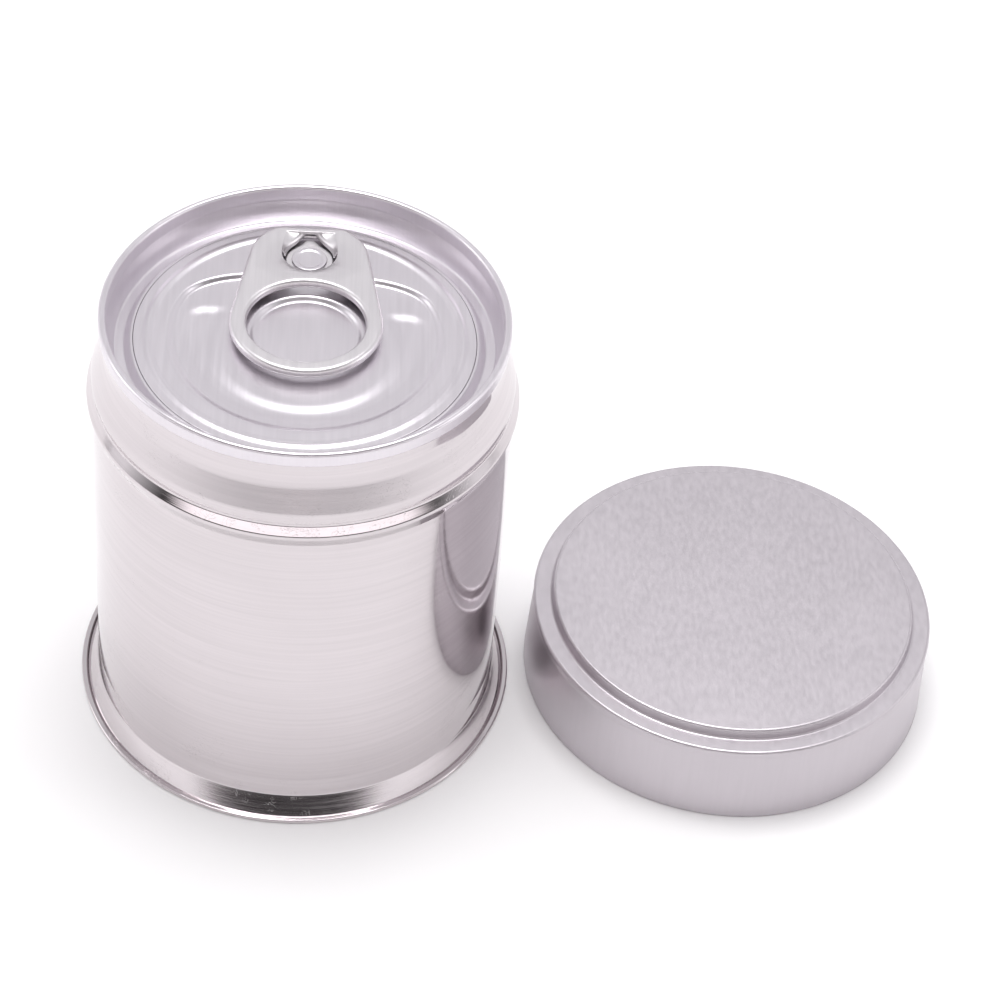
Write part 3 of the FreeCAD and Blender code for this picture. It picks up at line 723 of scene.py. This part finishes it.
def shell_section(shape):
    """The shell, from its body hook down to its flange."""
    hook_inside, _, wall_outside, _ = seam_faces()
    body, bead = shape.body_radius / MM, shape.bead_height / MM
    foot, step = shape.foot_radius / MM, shape.foot_height / MM
    hook_room, neck_length = 0.3, 4.4
    bead_rise, bead_drop, groove = 2.15, 2.5, 0.5
    step_out, step_drop = 0.35, 3.9
    return sheet_section([
        (hook_inside, SEAM_BOTTOM + END_SHEET + hook_room, 0),
        (hook_inside, HOOK_TOP, 0.15),
        (wall_outside, HOOK_TOP, 0.15),
        (wall_outside, SEAM_BOTTOM - neck_length, 8.0),
        (shape.shoulder_radius / MM, shape.shoulder_height / MM, 3.0),
        (body - groove, bead + bead_rise, 0.8),
        (shape.bead_radius / MM, bead, 1.1),
        (body, bead - bead_drop, 0.8),
        (body, step, 0.6),
        (body + step_out, step - step_drop, 0.6),
        (foot, FLANGE_TOP, 0.4),
        (FLANGE_RADIUS, FLANGE_TOP, 0),
    ], BODY_SHEET)


def end_ring_section():
    """The ring of the end, from the score out to the cover hook."""
    _, cover_inside, _, chuck_inside = seam_faces()
    floor = COUNTERSINK_UNDERSIDE + END_SHEET
    score_gap, score_round, hook_room = 0.08, 0.14, 0.4
    panel_edge, countersink_start, countersink_end = 32.5, 33.6, 35.5
    return sheet_section([
        (SCORE_RADIUS + score_gap, PANEL - SCORE_DROP, 0),
        (SCORE_RADIUS + score_round, PANEL, 0.02),
        (panel_edge, PANEL, 0.45),
        (countersink_start, floor, 0.5),
        (countersink_end, floor, 0.5),
        (chuck_inside, SEAM_BOTTOM, 2.0),
        (chuck_inside, CAN_HEIGHT, 0.7),
        (RIM_RADIUS, CAN_HEIGHT, 0.7),
        (RIM_RADIUS, SEAM_BOTTOM, 0.4),
        (cover_inside, SEAM_BOTTOM, 0.4),
        (cover_inside, HOOK_TOP - hook_room, 0),
    ], END_SHEET, spacing=1.5)


def base_section():
    """The base plate, from its middle out to its hem."""
    bead, half, bead_rise = 30.0, 1.5, 0.6
    wall_top, wall_foot, hem_overlap = 40.8, 42.15, 1.0
    level = BASE_BEAD_TOP - bead_rise
    hem_top = FLANGE_TOP + SEAM_GAP + BASE_SHEET
    fold = HEM_RADIUS - BASE_SHEET
    return sheet_section([
        (0.0, level, 0),
        (bead - half, level, 0.8),
        (bead - half / 2, BASE_BEAD_TOP, 0.8),
        (bead + half / 2, BASE_BEAD_TOP, 0.8),
        (bead + half, level, 0.8),
        (wall_top, level, 0.8),
        (wall_foot, BASE_SHEET, 0.35),
        (fold, BASE_SHEET, 0.12),
        (fold, hem_top - BASE_SHEET, 0.12),
        (HEM_RADIUS - hem_overlap, hem_top - BASE_SHEET, 0),
    ], BASE_SHEET)


def overcap_section():
    """The overcap, from the middle of its top down to its hem."""
    face, ledge_start, ledge_end, skirt_top = 36.6, 37.1, 40.75, 40.6
    ledge_drop, skirt_drop, hem_width, hem_height = 2.1, 1.9, 0.9, 1.8
    ledge = CAP_HEIGHT - ledge_drop
    hem = CAP_RADIUS - hem_width
    return sheet_section([
        (0.0, CAP_HEIGHT, 0),
        (face, CAP_HEIGHT, 0.6),
        (ledge_start, ledge, 0.5),
        (ledge_end, ledge, 0.6),
        (skirt_top, ledge - skirt_drop, 3.0),
        (CAP_RADIUS, 0.0, 0.42),
        (hem, 0.0, 0.42),
        (hem, hem_height, 0),
    ], CAP_SHEET)


# ---- tear panel
def round_overlap(first, second, radius):
    """Distance to the overlap of two shapes, its corners rounded; negative inside."""
    inside = np.minimum(-radius, np.maximum(first, second))
    corner = np.hypot(np.maximum(radius + first, 0), np.maximum(radius + second, 0))
    return inside + corner


def pressed(distance, depth, width):
    """A press's wall: nothing outside the outline, the whole depth a width inside it."""
    share = np.clip(-distance / width, 0.0, 1.0)
    return -depth * (0.5 - 0.5 * np.cos(np.pi * share))


def panel_relief(x, y, shape):
    """Height of the tear panel's top above its flat level, in mm."""
    recess_corner, horseshoe_corner = 7.0, 3.4
    horseshoe_shift, horseshoe_chord = 1.5, 9.0
    horseshoe_wall, well_wall, bead_half, edge_width = 2.8, 1.3, 1.1, 0.12
    reach = np.hypot(x, y)
    recess = round_overlap(
        reach - shape.recess_radius / MM, y - shape.recess_chord / MM, recess_corner,
    )
    recess_wall = 1.2 + 1.3 * np.clip(0.5 - y / 20.0, 0.0, 1.0)
    relief = pressed(recess, shape.recess_depth / MM, recess_wall)
    crescent = np.maximum(
        reach - shape.horseshoe_radius / MM,
        shape.horseshoe_inner / MM - np.hypot(x, y + horseshoe_shift),
    )
    horseshoe = round_overlap(crescent, y - horseshoe_chord, horseshoe_corner)
    relief += pressed(horseshoe, shape.horseshoe_depth / MM, horseshoe_wall)
    well = np.hypot(x, y - RING_OFFSET) - shape.well_radius / MM
    relief += pressed(well, shape.well_depth / MM, well_wall)
    bead = np.clip(1.0 - np.abs(reach - shape.bead_radius / MM) / bead_half, 0.0, 1.0)
    relief += shape.bead_rise / MM * (0.5 - 0.5 * np.cos(np.pi * bead))
    edge = np.clip((reach - SCORE_RADIUS + edge_width) / edge_width, 0.0, 1.0)
    relief -= SCORE_DROP * edge ** 2
    return relief


def tear_panel_mesh(shape, rings=130, spokes=330):
    """The pressed disc as two sheets of rings and spokes, joined at the score."""
    reaches = np.linspace(0.0, SCORE_RADIUS, rings + 1)[1:]
    reaches = np.concatenate([reaches[:-1], [SCORE_RADIUS - 0.12, SCORE_RADIUS - 0.05, SCORE_RADIUS]])
    angles = np.linspace(0.0, math.tau, spokes, endpoint=False)
    x = np.outer(reaches, np.cos(angles)).ravel()
    y = np.outer(reaches, np.sin(angles)).ravel()
    top = PANEL + panel_relief(x, y, shape)
    rows = len(reaches)
    centre = PANEL + float(panel_relief(np.zeros(1), np.zeros(1), shape)[0])
    points = [(0.0, 0.0, centre), *zip(x, y, top)]
    points += [(px, py, pz - END_SHEET) for px, py, pz in points]
    under = 1 + rows * spokes

    def number(row, spoke, offset=0):
        return offset + 1 + row * spokes + spoke % spokes

    faces = []
    for spoke in range(spokes):
        faces.append((0, number(0, spoke), number(0, spoke + 1)))
        faces.append((under, number(0, spoke + 1, under), number(0, spoke, under)))
        for row in range(rows - 1):
            a, b = number(row, spoke), number(row + 1, spoke)
            c, d = number(row + 1, spoke + 1), number(row, spoke + 1)
            faces.append((a, b, c, d))
            faces.append((d + under, c + under, b + under, a + under))
        last, beyond = number(rows - 1, spoke), number(rows - 1, spoke + 1)
        faces.append((last, last + under, beyond + under, beyond))
    return mesh_of("tear_panel", points, faces)


def mesh_of(name, points, faces):
    """A smooth mesh from points in mm."""
    mesh = bpy.data.meshes.new(name)
    mesh.from_pydata([(x * MM, y * MM, z * MM) for x, y, z in points], [], faces)
    mesh.polygons.foreach_set("use_smooth", [True] * len(mesh.polygons))
    mesh.update()
    outward_facing(mesh)
    return mesh


def rivet_section():
    """The rivet formed from the panel: a hollow stem and a flattened, slightly dished head."""
    stem, head = 1.88, 3.4
    under = TONGUE_TOP + STACK_GAP
    outline = [
        (0.0, PANEL - 0.05, 0), (stem, PANEL - 0.05, 0), (stem, under, 0),
        (head, under, 0.12), (head, RIVET_TOP, 0.24), (head - 0.75, RIVET_TOP, 0.3),
        (head - 1.05, RIVET_TOP - 0.12, 0.3), (0.0, RIVET_TOP - 0.15, 0),
    ]
    return [point for point, _ in bent_line(outline, 1.0)]


# ---- pull tab
def arc_points(centre, radius, start, end, count):
    """Points on an arc with their outward normals; angles in radians."""
    angles = np.linspace(start, end, count)
    spokes = [Vector((math.cos(a), math.sin(a))) for a in angles]
    return [(Vector(centre) + spoke * radius, spoke) for spoke in spokes]


def lever_outline():
    """The tab's outer edge, counter-clockwise from the ring's front, with outward normals."""
    corner, across, reach, bend = 9.2, 2.2, 21.0, 1.6
    ring_centre, shoulder = Vector((0.0, RING_OFFSET)), Vector((across, reach))
    along = shoulder - ring_centre
    lean = math.atan2(along.y, along.x) - math.acos((RING_RADIUS - corner) / along.length)
    rise = NOSE_REACH - bend - reach
    bend_across = across + math.sqrt((corner - bend) ** 2 - rise ** 2)
    bend_angle = math.atan2(rise, bend_across - across)
    bend_centre = Vector((bend_across, NOSE_REACH - bend))
    right = arc_points(shoulder, corner, lean, bend_angle, 40)
    right += arc_points(bend_centre, bend, bend_angle, math.pi / 2, 14)[1:]
    side_start = ring_centre + Vector((math.cos(lean), math.sin(lean))) * RING_RADIUS
    normal = right[0][1]
    side = [(side_start.lerp(right[0][0], n / 20), normal) for n in range(1, 20)]
    nose_end = right[-1][0]
    front = [(Vector((nose_end.x * (1 - n / 10), NOSE_REACH)), Vector((0.0, 1.0)))
             for n in range(1, 10)]
    ring = arc_points(ring_centre, RING_RADIUS, -math.pi / 2, lean, 60)
    half = ring + side + right + front
    middle = (Vector((0.0, NOSE_REACH)), Vector((0.0, 1.0)))
    mirrored = [(Vector((-p.x, p.y)), Vector((-n.x, n.y))) for p, n in half[1:][::-1]]
    return half + [middle] + mirrored


def curl_section(curl, top, bottom):
    """A curled edge as (distance inside the edge, height), from the flat top round to the tuck."""
    middle = (top + bottom) / 2
    half = (top - bottom) / 2
    flat, tuck_start, tuck, tuck_height = 0.06, 1.25, 0.32, 0.95
    section = [(1.5, top), (1.2, top), (curl + flat, top)]
    for step in range(1, 16):
        angle = math.pi / 2 - math.pi * step / 16
        section.append((curl - curl * math.cos(angle), middle + half * math.sin(angle)))
    section += [(curl + flat, bottom), (tuck_start, bottom)]
    for step in range(1, 7):
        angle = -math.pi / 2 + math.pi / 2 * step / 6
        section.append((tuck_start + tuck * math.cos(angle),
                        bottom + tuck + tuck * math.sin(angle)))
    section.append((1.57, bottom + tuck_height))
    return section


def loop_strip(mesh, loops):
    """Join rings of vertices, each with the same count, into a band of faces."""
    for ring, following in zip(loops, loops[1:]):
        count = len(ring)
        for n in range(count):
            m = (n + 1) % count
            mesh.faces.new((ring[n], ring[m], following[m], following[n]))


def add_loop(mesh, points):
    return [mesh.verts.new((x * MM, y * MM, z * MM)) for x, y, z in points]


def teardrop_half_width(climb, radius, tip_half, tip_climb):
    """Half the width of a circle drawn out to a tip by its tangents, at a height above its centre."""
    square = tip_climb ** 2 - radius ** 2
    spread = (tip_half * tip_climb) ** 2 - square * (tip_half ** 2 - radius ** 2)
    slant = (math.sqrt(spread) - tip_half * tip_climb) / square
    touching = radius * slant / math.hypot(1.0, slant)
    if climb <= touching:
        return math.sqrt(radius ** 2 - climb ** 2)
    return tip_half + slant * (tip_climb - climb)


def well_outlines(slit, count=120):
    """Matching loops round the tongue: the pear-shaped edge in the web and the teardrop inside it."""
    pear_radius, pear_half, pear_climb = TONGUE_RADIUS + slit, 4.7, NOSE_REACH - 1.6 - RIVET_REACH
    drop_radius, drop_half, drop_climb = TONGUE_RADIUS + 0.1, 0.9, TONGUE_TIP + 0.5 - RIVET_REACH
    middle = Vector((0.0, RIVET_REACH))
    pear, drop = [], []
    for n in range(count):
        angle = -math.pi / 2 + math.tau * n / count
        spoke = Vector((math.cos(angle), math.sin(angle)))
        if spoke.y <= 0:
            pear.append(middle + spoke * pear_radius)
            drop.append(middle + spoke * drop_radius)
            continue
        side = 1.0 if spoke.x >= 0 else -1.0
        share = abs(angle - math.pi / 2) / (math.pi / 2)
        climb = min(1.0, (1.0 - share) / 0.8)
        across = min(1.0, share / 0.2)
        width = pear_radius + (pear_half - pear_radius) * climb ** 2
        pear.append(middle + Vector((side * width * across, climb * pear_climb)))
        width = teardrop_half_width(climb * drop_climb, drop_radius, drop_half, drop_climb)
        drop.append(middle + Vector((side * width * across, climb * drop_climb)))
    return pear, drop


def lever_mesh(shape):
    """Top skin of the tab with both curls, the sloped well round the tongue and the flat web."""
    build = bmesh.new()
    edge = lever_outline()
    curl = shape.curl / MM
    hole = shape.hole_radius / MM
    section = curl_section(curl, TAB_TOP, TAB_BOTTOM)
    outer = [
        add_loop(build, [(p.x - n.x * inside, p.y - n.y * inside, z) for p, n in edge])
        for inside, z in section
    ]
    rim = arc_points((0.0, RING_OFFSET), hole, 0.0, math.tau, 145)[:-1]
    inner = [
        add_loop(build, [(p.x + n.x * inside, p.y + n.y * inside, z) for p, n in rim])
        for inside, z in section
    ]
    loop_strip(build, outer)
    loop_strip(build, inner)
    pear, drop = well_outlines(shape.slit / MM)
    lip = []
    for depth, share in ((0.0, 0.0), (0.05, 0.05), (0.18, 0.16)):
        lip.append(add_loop(build, [
            (*p.lerp(d, share), TAB_TOP - depth) for p, d in zip(pear, drop)
        ]))
    loop_strip(build, lip)
    floor, nose = TONGUE_TOP + TAB_SHEET + 0.06, TAB_TOP - 0.45
    count = len(pear)
    slope = [n for n in range(count) if pear[n].y > RIVET_REACH + 0.4]
    farthest = max(point.y for point in drop) - RIVET_REACH
    drops, halfway = {}, {}
    for n in slope:
        climb = (drop[n].y - RIVET_REACH) / farthest
        low = floor + (nose - floor) * climb ** 5
        drops[n] = build.verts.new((drop[n].x * MM, drop[n].y * MM, low * MM))
        middle = pear[n].lerp(drop[n], 0.6) * MM
        halfway[n] = build.verts.new((*middle, (TAB_TOP * 0.42 + low * 0.58) * MM))
    for n, m in zip(slope, slope[1:]):
        build.faces.new((lip[-1][n], lip[-1][m], halfway[m], halfway[n]))
        build.faces.new((halfway[n], halfway[m], drops[m], drops[n]))
    web = []
    for ring in (outer[0], inner[0], lip[0]):
        web += [build.edges.get((a, b)) or build.edges.new((a, b))
                for a, b in zip(ring, ring[1:] + ring[:1])]
    bmesh.ops.triangle_fill(build, use_beauty=True, edges=web, normal=(0, 0, 1))
    bmesh.ops.recalc_face_normals(build, faces=build.faces)
    highest = max(build.faces, key=lambda f: f.calc_center_median().z)
    if highest.normal.z < 0:
        bmesh.ops.reverse_faces(build, faces=build.faces)
    return finished_mesh(build, "pull_tab")


def solid_sheet(piece, thickness, context):
    """Give an open skin its thickness, inwards, and keep the result as a plain mesh."""
    wall = piece.modifiers.new("Sheet", "SOLIDIFY")
    wall.thickness = thickness * MM
    wall.offset = -1.0
    wall.use_even_offset = True
    piece.data = evaluated_mesh(piece, wall, context)
    return piece


def tongue_mesh():
    """The teardrop tongue: flat round the rivet, rounded at its edge, its tip rising to the nose."""
    count = 120
    build = bmesh.new()
    _, drop = well_outlines(0.0, count)
    middle = Vector((0.0, RIVET_REACH))
    hole = [middle + Vector((math.cos(a), math.sin(a))) * 1.95
            for a in (-math.pi / 2 + math.tau * n / count for n in range(count))]

    def level(point):
        rise = max(0.0, point.y - TONGUE_TIP + 1.2) / 2.1
        return 0.35 * min(rise, 1.0) ** 2

    def ring(share, height):
        spots = [h.lerp(d, share) for h, d in zip(hole, drop)]
        return add_loop(build, [(s.x, s.y, height + level(s)) for s in spots])

    loops = [ring(s, TONGUE_TOP) for s in (0.0, 0.5, 0.8, 0.9)]
    loops += [ring(0.97, TONGUE_TOP - 0.05), ring(1.0, TONGUE_TOP - 0.14)]
    loops += [ring(1.0, TONGUE_BOTTOM + 0.05), ring(0.97, TONGUE_BOTTOM), ring(0.0, TONGUE_BOTTOM)]
    loop_strip(build, loops + [loops[0]])
    bmesh.ops.recalc_face_normals(build, faces=build.faces)
    mesh = finished_mesh(build, "tab_tongue")
    outward_facing(mesh)
    return mesh


# ---- operators
class BALLCAN_OT_shell(bpy.types.Operator):
    """Make the tinplate shell with its body hook, neck, bead, foot and flange"""

    bl_idname = "ballcan.shell"
    bl_label = "Can shell"

    def execute(self, context):
        section = shell_section(context.scene.can_shape)
        settle_turned(context, "shell", section, "can", "tinplate", "can_body")
        return {"FINISHED"}


class BALLCAN_OT_end_ring(bpy.types.Operator):
    """Make the seamed ring of the end, from the cover hook in to the score"""

    bl_idname = "ballcan.end_ring"
    bl_label = "End ring"

    def execute(self, context):
        settle_turned(
            context, "end_ring", end_ring_section(), "can", "end_aluminium", "top_end_ring",
        )
        return {"FINISHED"}


class BALLCAN_OT_base(bpy.types.Operator):
    """Make the base plate with its stiffening bead and hem"""

    bl_idname = "ballcan.base"
    bl_label = "Base plate"

    def execute(self, context):
        settle_turned(
            context, "base_plate", base_section(), "can", "tinplate", "bottom_end",
            unevenness=0.0,
        )
        return {"FINISHED"}


class BALLCAN_OT_tear_panel(bpy.types.Operator):
    """Press the tear panel and form its rivet"""

    bl_idname = "ballcan.tear_panel"
    bl_label = "Tear panel and rivet"

    def execute(self, context):
        mesh = tear_panel_mesh(context.scene.panel_shape)
        mesh.materials.append(finish_for("end_aluminium", context))
        settle(link("pressed_panel", mesh), "panel", "end_aluminium", "tear_panel")
        settle_turned(
            context, "rivet", rivet_section(), "panel", "end_aluminium", "tear_panel",
            centre=(0.0, RIVET_REACH), unevenness=0.0,
        )
        return {"FINISHED"}


class BALLCAN_OT_pull_tab(bpy.types.Operator):
    """Make the pull tab with its curled edges, and the tongue that the rivet holds"""

    bl_idname = "ballcan.pull_tab"
    bl_label = "Pull tab and tongue"

    def execute(self, context):
        material = finish_for("tab_aluminium", context)
        lever = lever_mesh(context.scene.tab_shape)
        lever.materials.append(material)
        piece = solid_sheet(link("lever", lever), TAB_SHEET, context)
        settle(piece, "tab", "tab_aluminium", "pull_tab")
        tongue = tongue_mesh()
        tongue.materials.append(material)
        settle(link("tongue", tongue), "panel", "tab_aluminium", "tab_island")
        return {"FINISHED"}


class BALLCAN_OT_overcap(bpy.types.Operator):
    """Make the slip-on overcap"""

    bl_idname = "ballcan.overcap"
    bl_label = "Overcap"

    def execute(self, context):
        settle_turned(
            context, "slip_lid", overcap_section(), "lid", "overcap_metal", "overcap",
            centre=(CAP_X, CAP_Y), seed=8.0, unevenness=0.0,
        )
        return {"FINISHED"}


class BALLCAN_OT_compound(bpy.types.Operator):
    """Finish the two rings of sealing compound, which keep their own shape"""

    bl_idname = "ballcan.compound"
    bl_label = "Seam compound"

    def execute(self, context):
        material = finish_for("seam_compound", context)
        for node in ("top_seam_compound", "bottom_seam_compound"):
            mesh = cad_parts[node].data
            mesh.materials.clear()
            mesh.materials.append(material)
        return {"FINISHED"}


class BALLCAN_OT_stage(bpy.types.Operator):
    """Set up the floor, the lights, the surroundings and the camera"""

    bl_idname = "ballcan.stage"
    bl_label = "Stage"

    def execute(self, context):
        settings = context.scene.stage_settings
        make_floor(settings)
        make_camera(settings, context)
        make_lights()
        make_surroundings(context)
        context.scene.view_settings.view_transform = "Standard"
        return {"FINISHED"}


# ---- stage
def make_floor(settings):
    """A wide square of pale paper."""
    half = 3.0
    corners = [(-half, -half, 0), (half, -half, 0), (half, half, 0), (-half, half, 0)]
    mesh = bpy.data.meshes.new("floor")
    mesh.from_pydata(corners, [], [(0, 1, 2, 3)])
    floor = link("floor", mesh)
    material, _, shader = principled("Paper floor")
    shader.inputs["Base Color"].default_value = (*settings.floor, 1.0)
    shader.inputs["Roughness"].default_value = 0.9
    shader.inputs["Specular IOR Level"].default_value = 0.1
    mesh.materials.append(material)


# The camera's place, in hem radii, before the view is turned to its heading.
CAMERA_PLACE = Vector((0.88830, -9.61040, 10.53916))


def make_camera(settings, context):
    """The camera stands in front of the can and above it, turned a little about its view line."""
    pitch, roll = settings.pitch, settings.roll
    right = Vector((1.0, 0.0, 0.0))
    down = Vector((0.0, -math.sin(pitch), -math.cos(pitch)))
    ahead = Vector((0.0, math.cos(pitch), -math.sin(pitch)))
    rolled_right = right * math.cos(roll) - down * math.sin(roll)
    rolled_down = right * math.sin(roll) + down * math.cos(roll)
    turn = Matrix.Rotation(settings.heading, 3, "Z")
    axes = [turn @ axis for axis in (rolled_right, -rolled_down, -ahead)]
    spot = turn @ (CAMERA_PLACE * (HEM_RADIUS * MM))
    lens = bpy.data.cameras.new("camera")
    lens.lens = settings.focal
    lens.sensor_width = 36.0
    lens.clip_start = 0.01
    camera = link("camera", lens)
    camera.matrix_world = Matrix.Translation(spot) @ Matrix(
        [[axes[c][r] for c in range(3)] for r in range(3)]
    ).to_4x4()
    context.scene.camera = camera


def softbox(name, place, target, size, power):
    """A rectangular light turned towards a target."""
    light = bpy.data.lights.new(name, "AREA")
    light.shape = "RECTANGLE"
    light.size, light.size_y = size
    light.energy = power
    lamp = link(name, light)
    lamp.location = place
    aim = Vector(target) - Vector(place)
    lamp.rotation_euler = aim.to_track_quat("-Z", "Y").to_euler()


def make_lights():
    """A soft light overhead, a little behind the can, and two weak ones at the sides."""
    centre = (0.04, 0.0, 0.05)
    softbox("top_softbox", (0.0, 0.15, 1.3), centre, (0.7, 0.5), 8.5)
    softbox("left_softbox", (-1.1, 0.2, 0.5), centre, (0.5, 0.6), 1.2)
    softbox("right_softbox", (1.2, -0.1, 0.6), centre, (0.5, 0.6), 1.2)


# Brightness of the room against the sine of the elevation, all round and on the camera's side.
WALL_LEVELS = ((0.0, 0.97), (0.35, 0.86), (0.62, 0.70), (0.80, 0.70), (0.93, 0.95))
FRONT_LEVELS = (
    (0.0, 0.85), (0.02, 0.05), (0.19, 0.06), (0.24, 1.6), (0.42, 1.6), (0.50, 0.14),
    (0.84, 0.20), (0.94, 0.80),
)


def make_surroundings(context):
    """A pale room. The camera's side is dark up to near the zenith, but for one bright band."""
    world = bpy.data.worlds.new("pale_room")
    context.scene.world = world
    world.use_nodes = True
    graph = Graph(world.node_tree)
    background = graph.nodes["Background"]
    direction = graph.add("ShaderNodeTexCoord").outputs["Generated"]
    parts = graph.add("ShaderNodeSeparateXYZ")
    graph.wire(direction, parts.inputs[0])
    height = parts.outputs["Z"]
    walls = graph.ramp(height, [(z, (v, v * 0.985, v * 1.01)) for z, v in WALL_LEVELS])
    front = graph.ramp(height, [(z, (v, v * 0.95, v * 0.97)) for z, v in FRONT_LEVELS])
    room = graph.add("ShaderNodeMix", data_type="RGBA")
    graph.wire(graph.spread(parts.outputs["Y"], -0.4, 0.0, 1.0, 0.0), room.inputs["Factor"])
    graph.wire(walls, room.inputs["A"])
    graph.wire(front, room.inputs["B"])
    graph.wire(room.outputs["Result"], background.inputs["Color"])
    background.inputs["Strength"].default_value = 1.0


# ---- panel and registration
OPERATORS = (
    BALLCAN_OT_shell,
    BALLCAN_OT_end_ring,
    BALLCAN_OT_base,
    BALLCAN_OT_tear_panel,
    BALLCAN_OT_pull_tab,
    BALLCAN_OT_overcap,
    BALLCAN_OT_compound,
    BALLCAN_OT_stage,
)


class BALLCAN_PT_pieces(bpy.types.Panel):
    """Buttons for the can's pieces and their settings"""

    bl_idname = "BALLCAN_PT_pieces"
    bl_label = "Ball can"
    bl_space_type = "VIEW_3D"
    bl_region_type = "UI"
    bl_category = "Ball can"

    def draw(self, context):
        for operator in OPERATORS:
            self.layout.operator(operator.bl_idname)
        for group in GROUPS:
            box = self.layout.box()
            box.label(text=group.replace("_", " ").capitalize())
            settings = getattr(context.scene, group)
            for name in settings.bl_rna.properties.keys():
                if name not in ("rna_type", "name"):
                    box.prop(settings, name)


CLASSES = (*GROUPS.values(), *OPERATORS, BALLCAN_PT_pieces)


def register():
    for item in CLASSES:
        bpy.utils.register_class(item)
    for name, group in GROUPS.items():
        setattr(bpy.types.Scene, name, bpy.props.PointerProperty(type=group))


def unregister():
    for name in GROUPS:
        delattr(bpy.types.Scene, name)
    for item in reversed(CLASSES):
        bpy.utils.unregister_class(item)


def main():
    register()
    for operator in OPERATORS:
        family, name = operator.bl_idname.split(".")
        getattr(getattr(bpy.ops, family), name)()


if __name__ == "__main__":
    main()
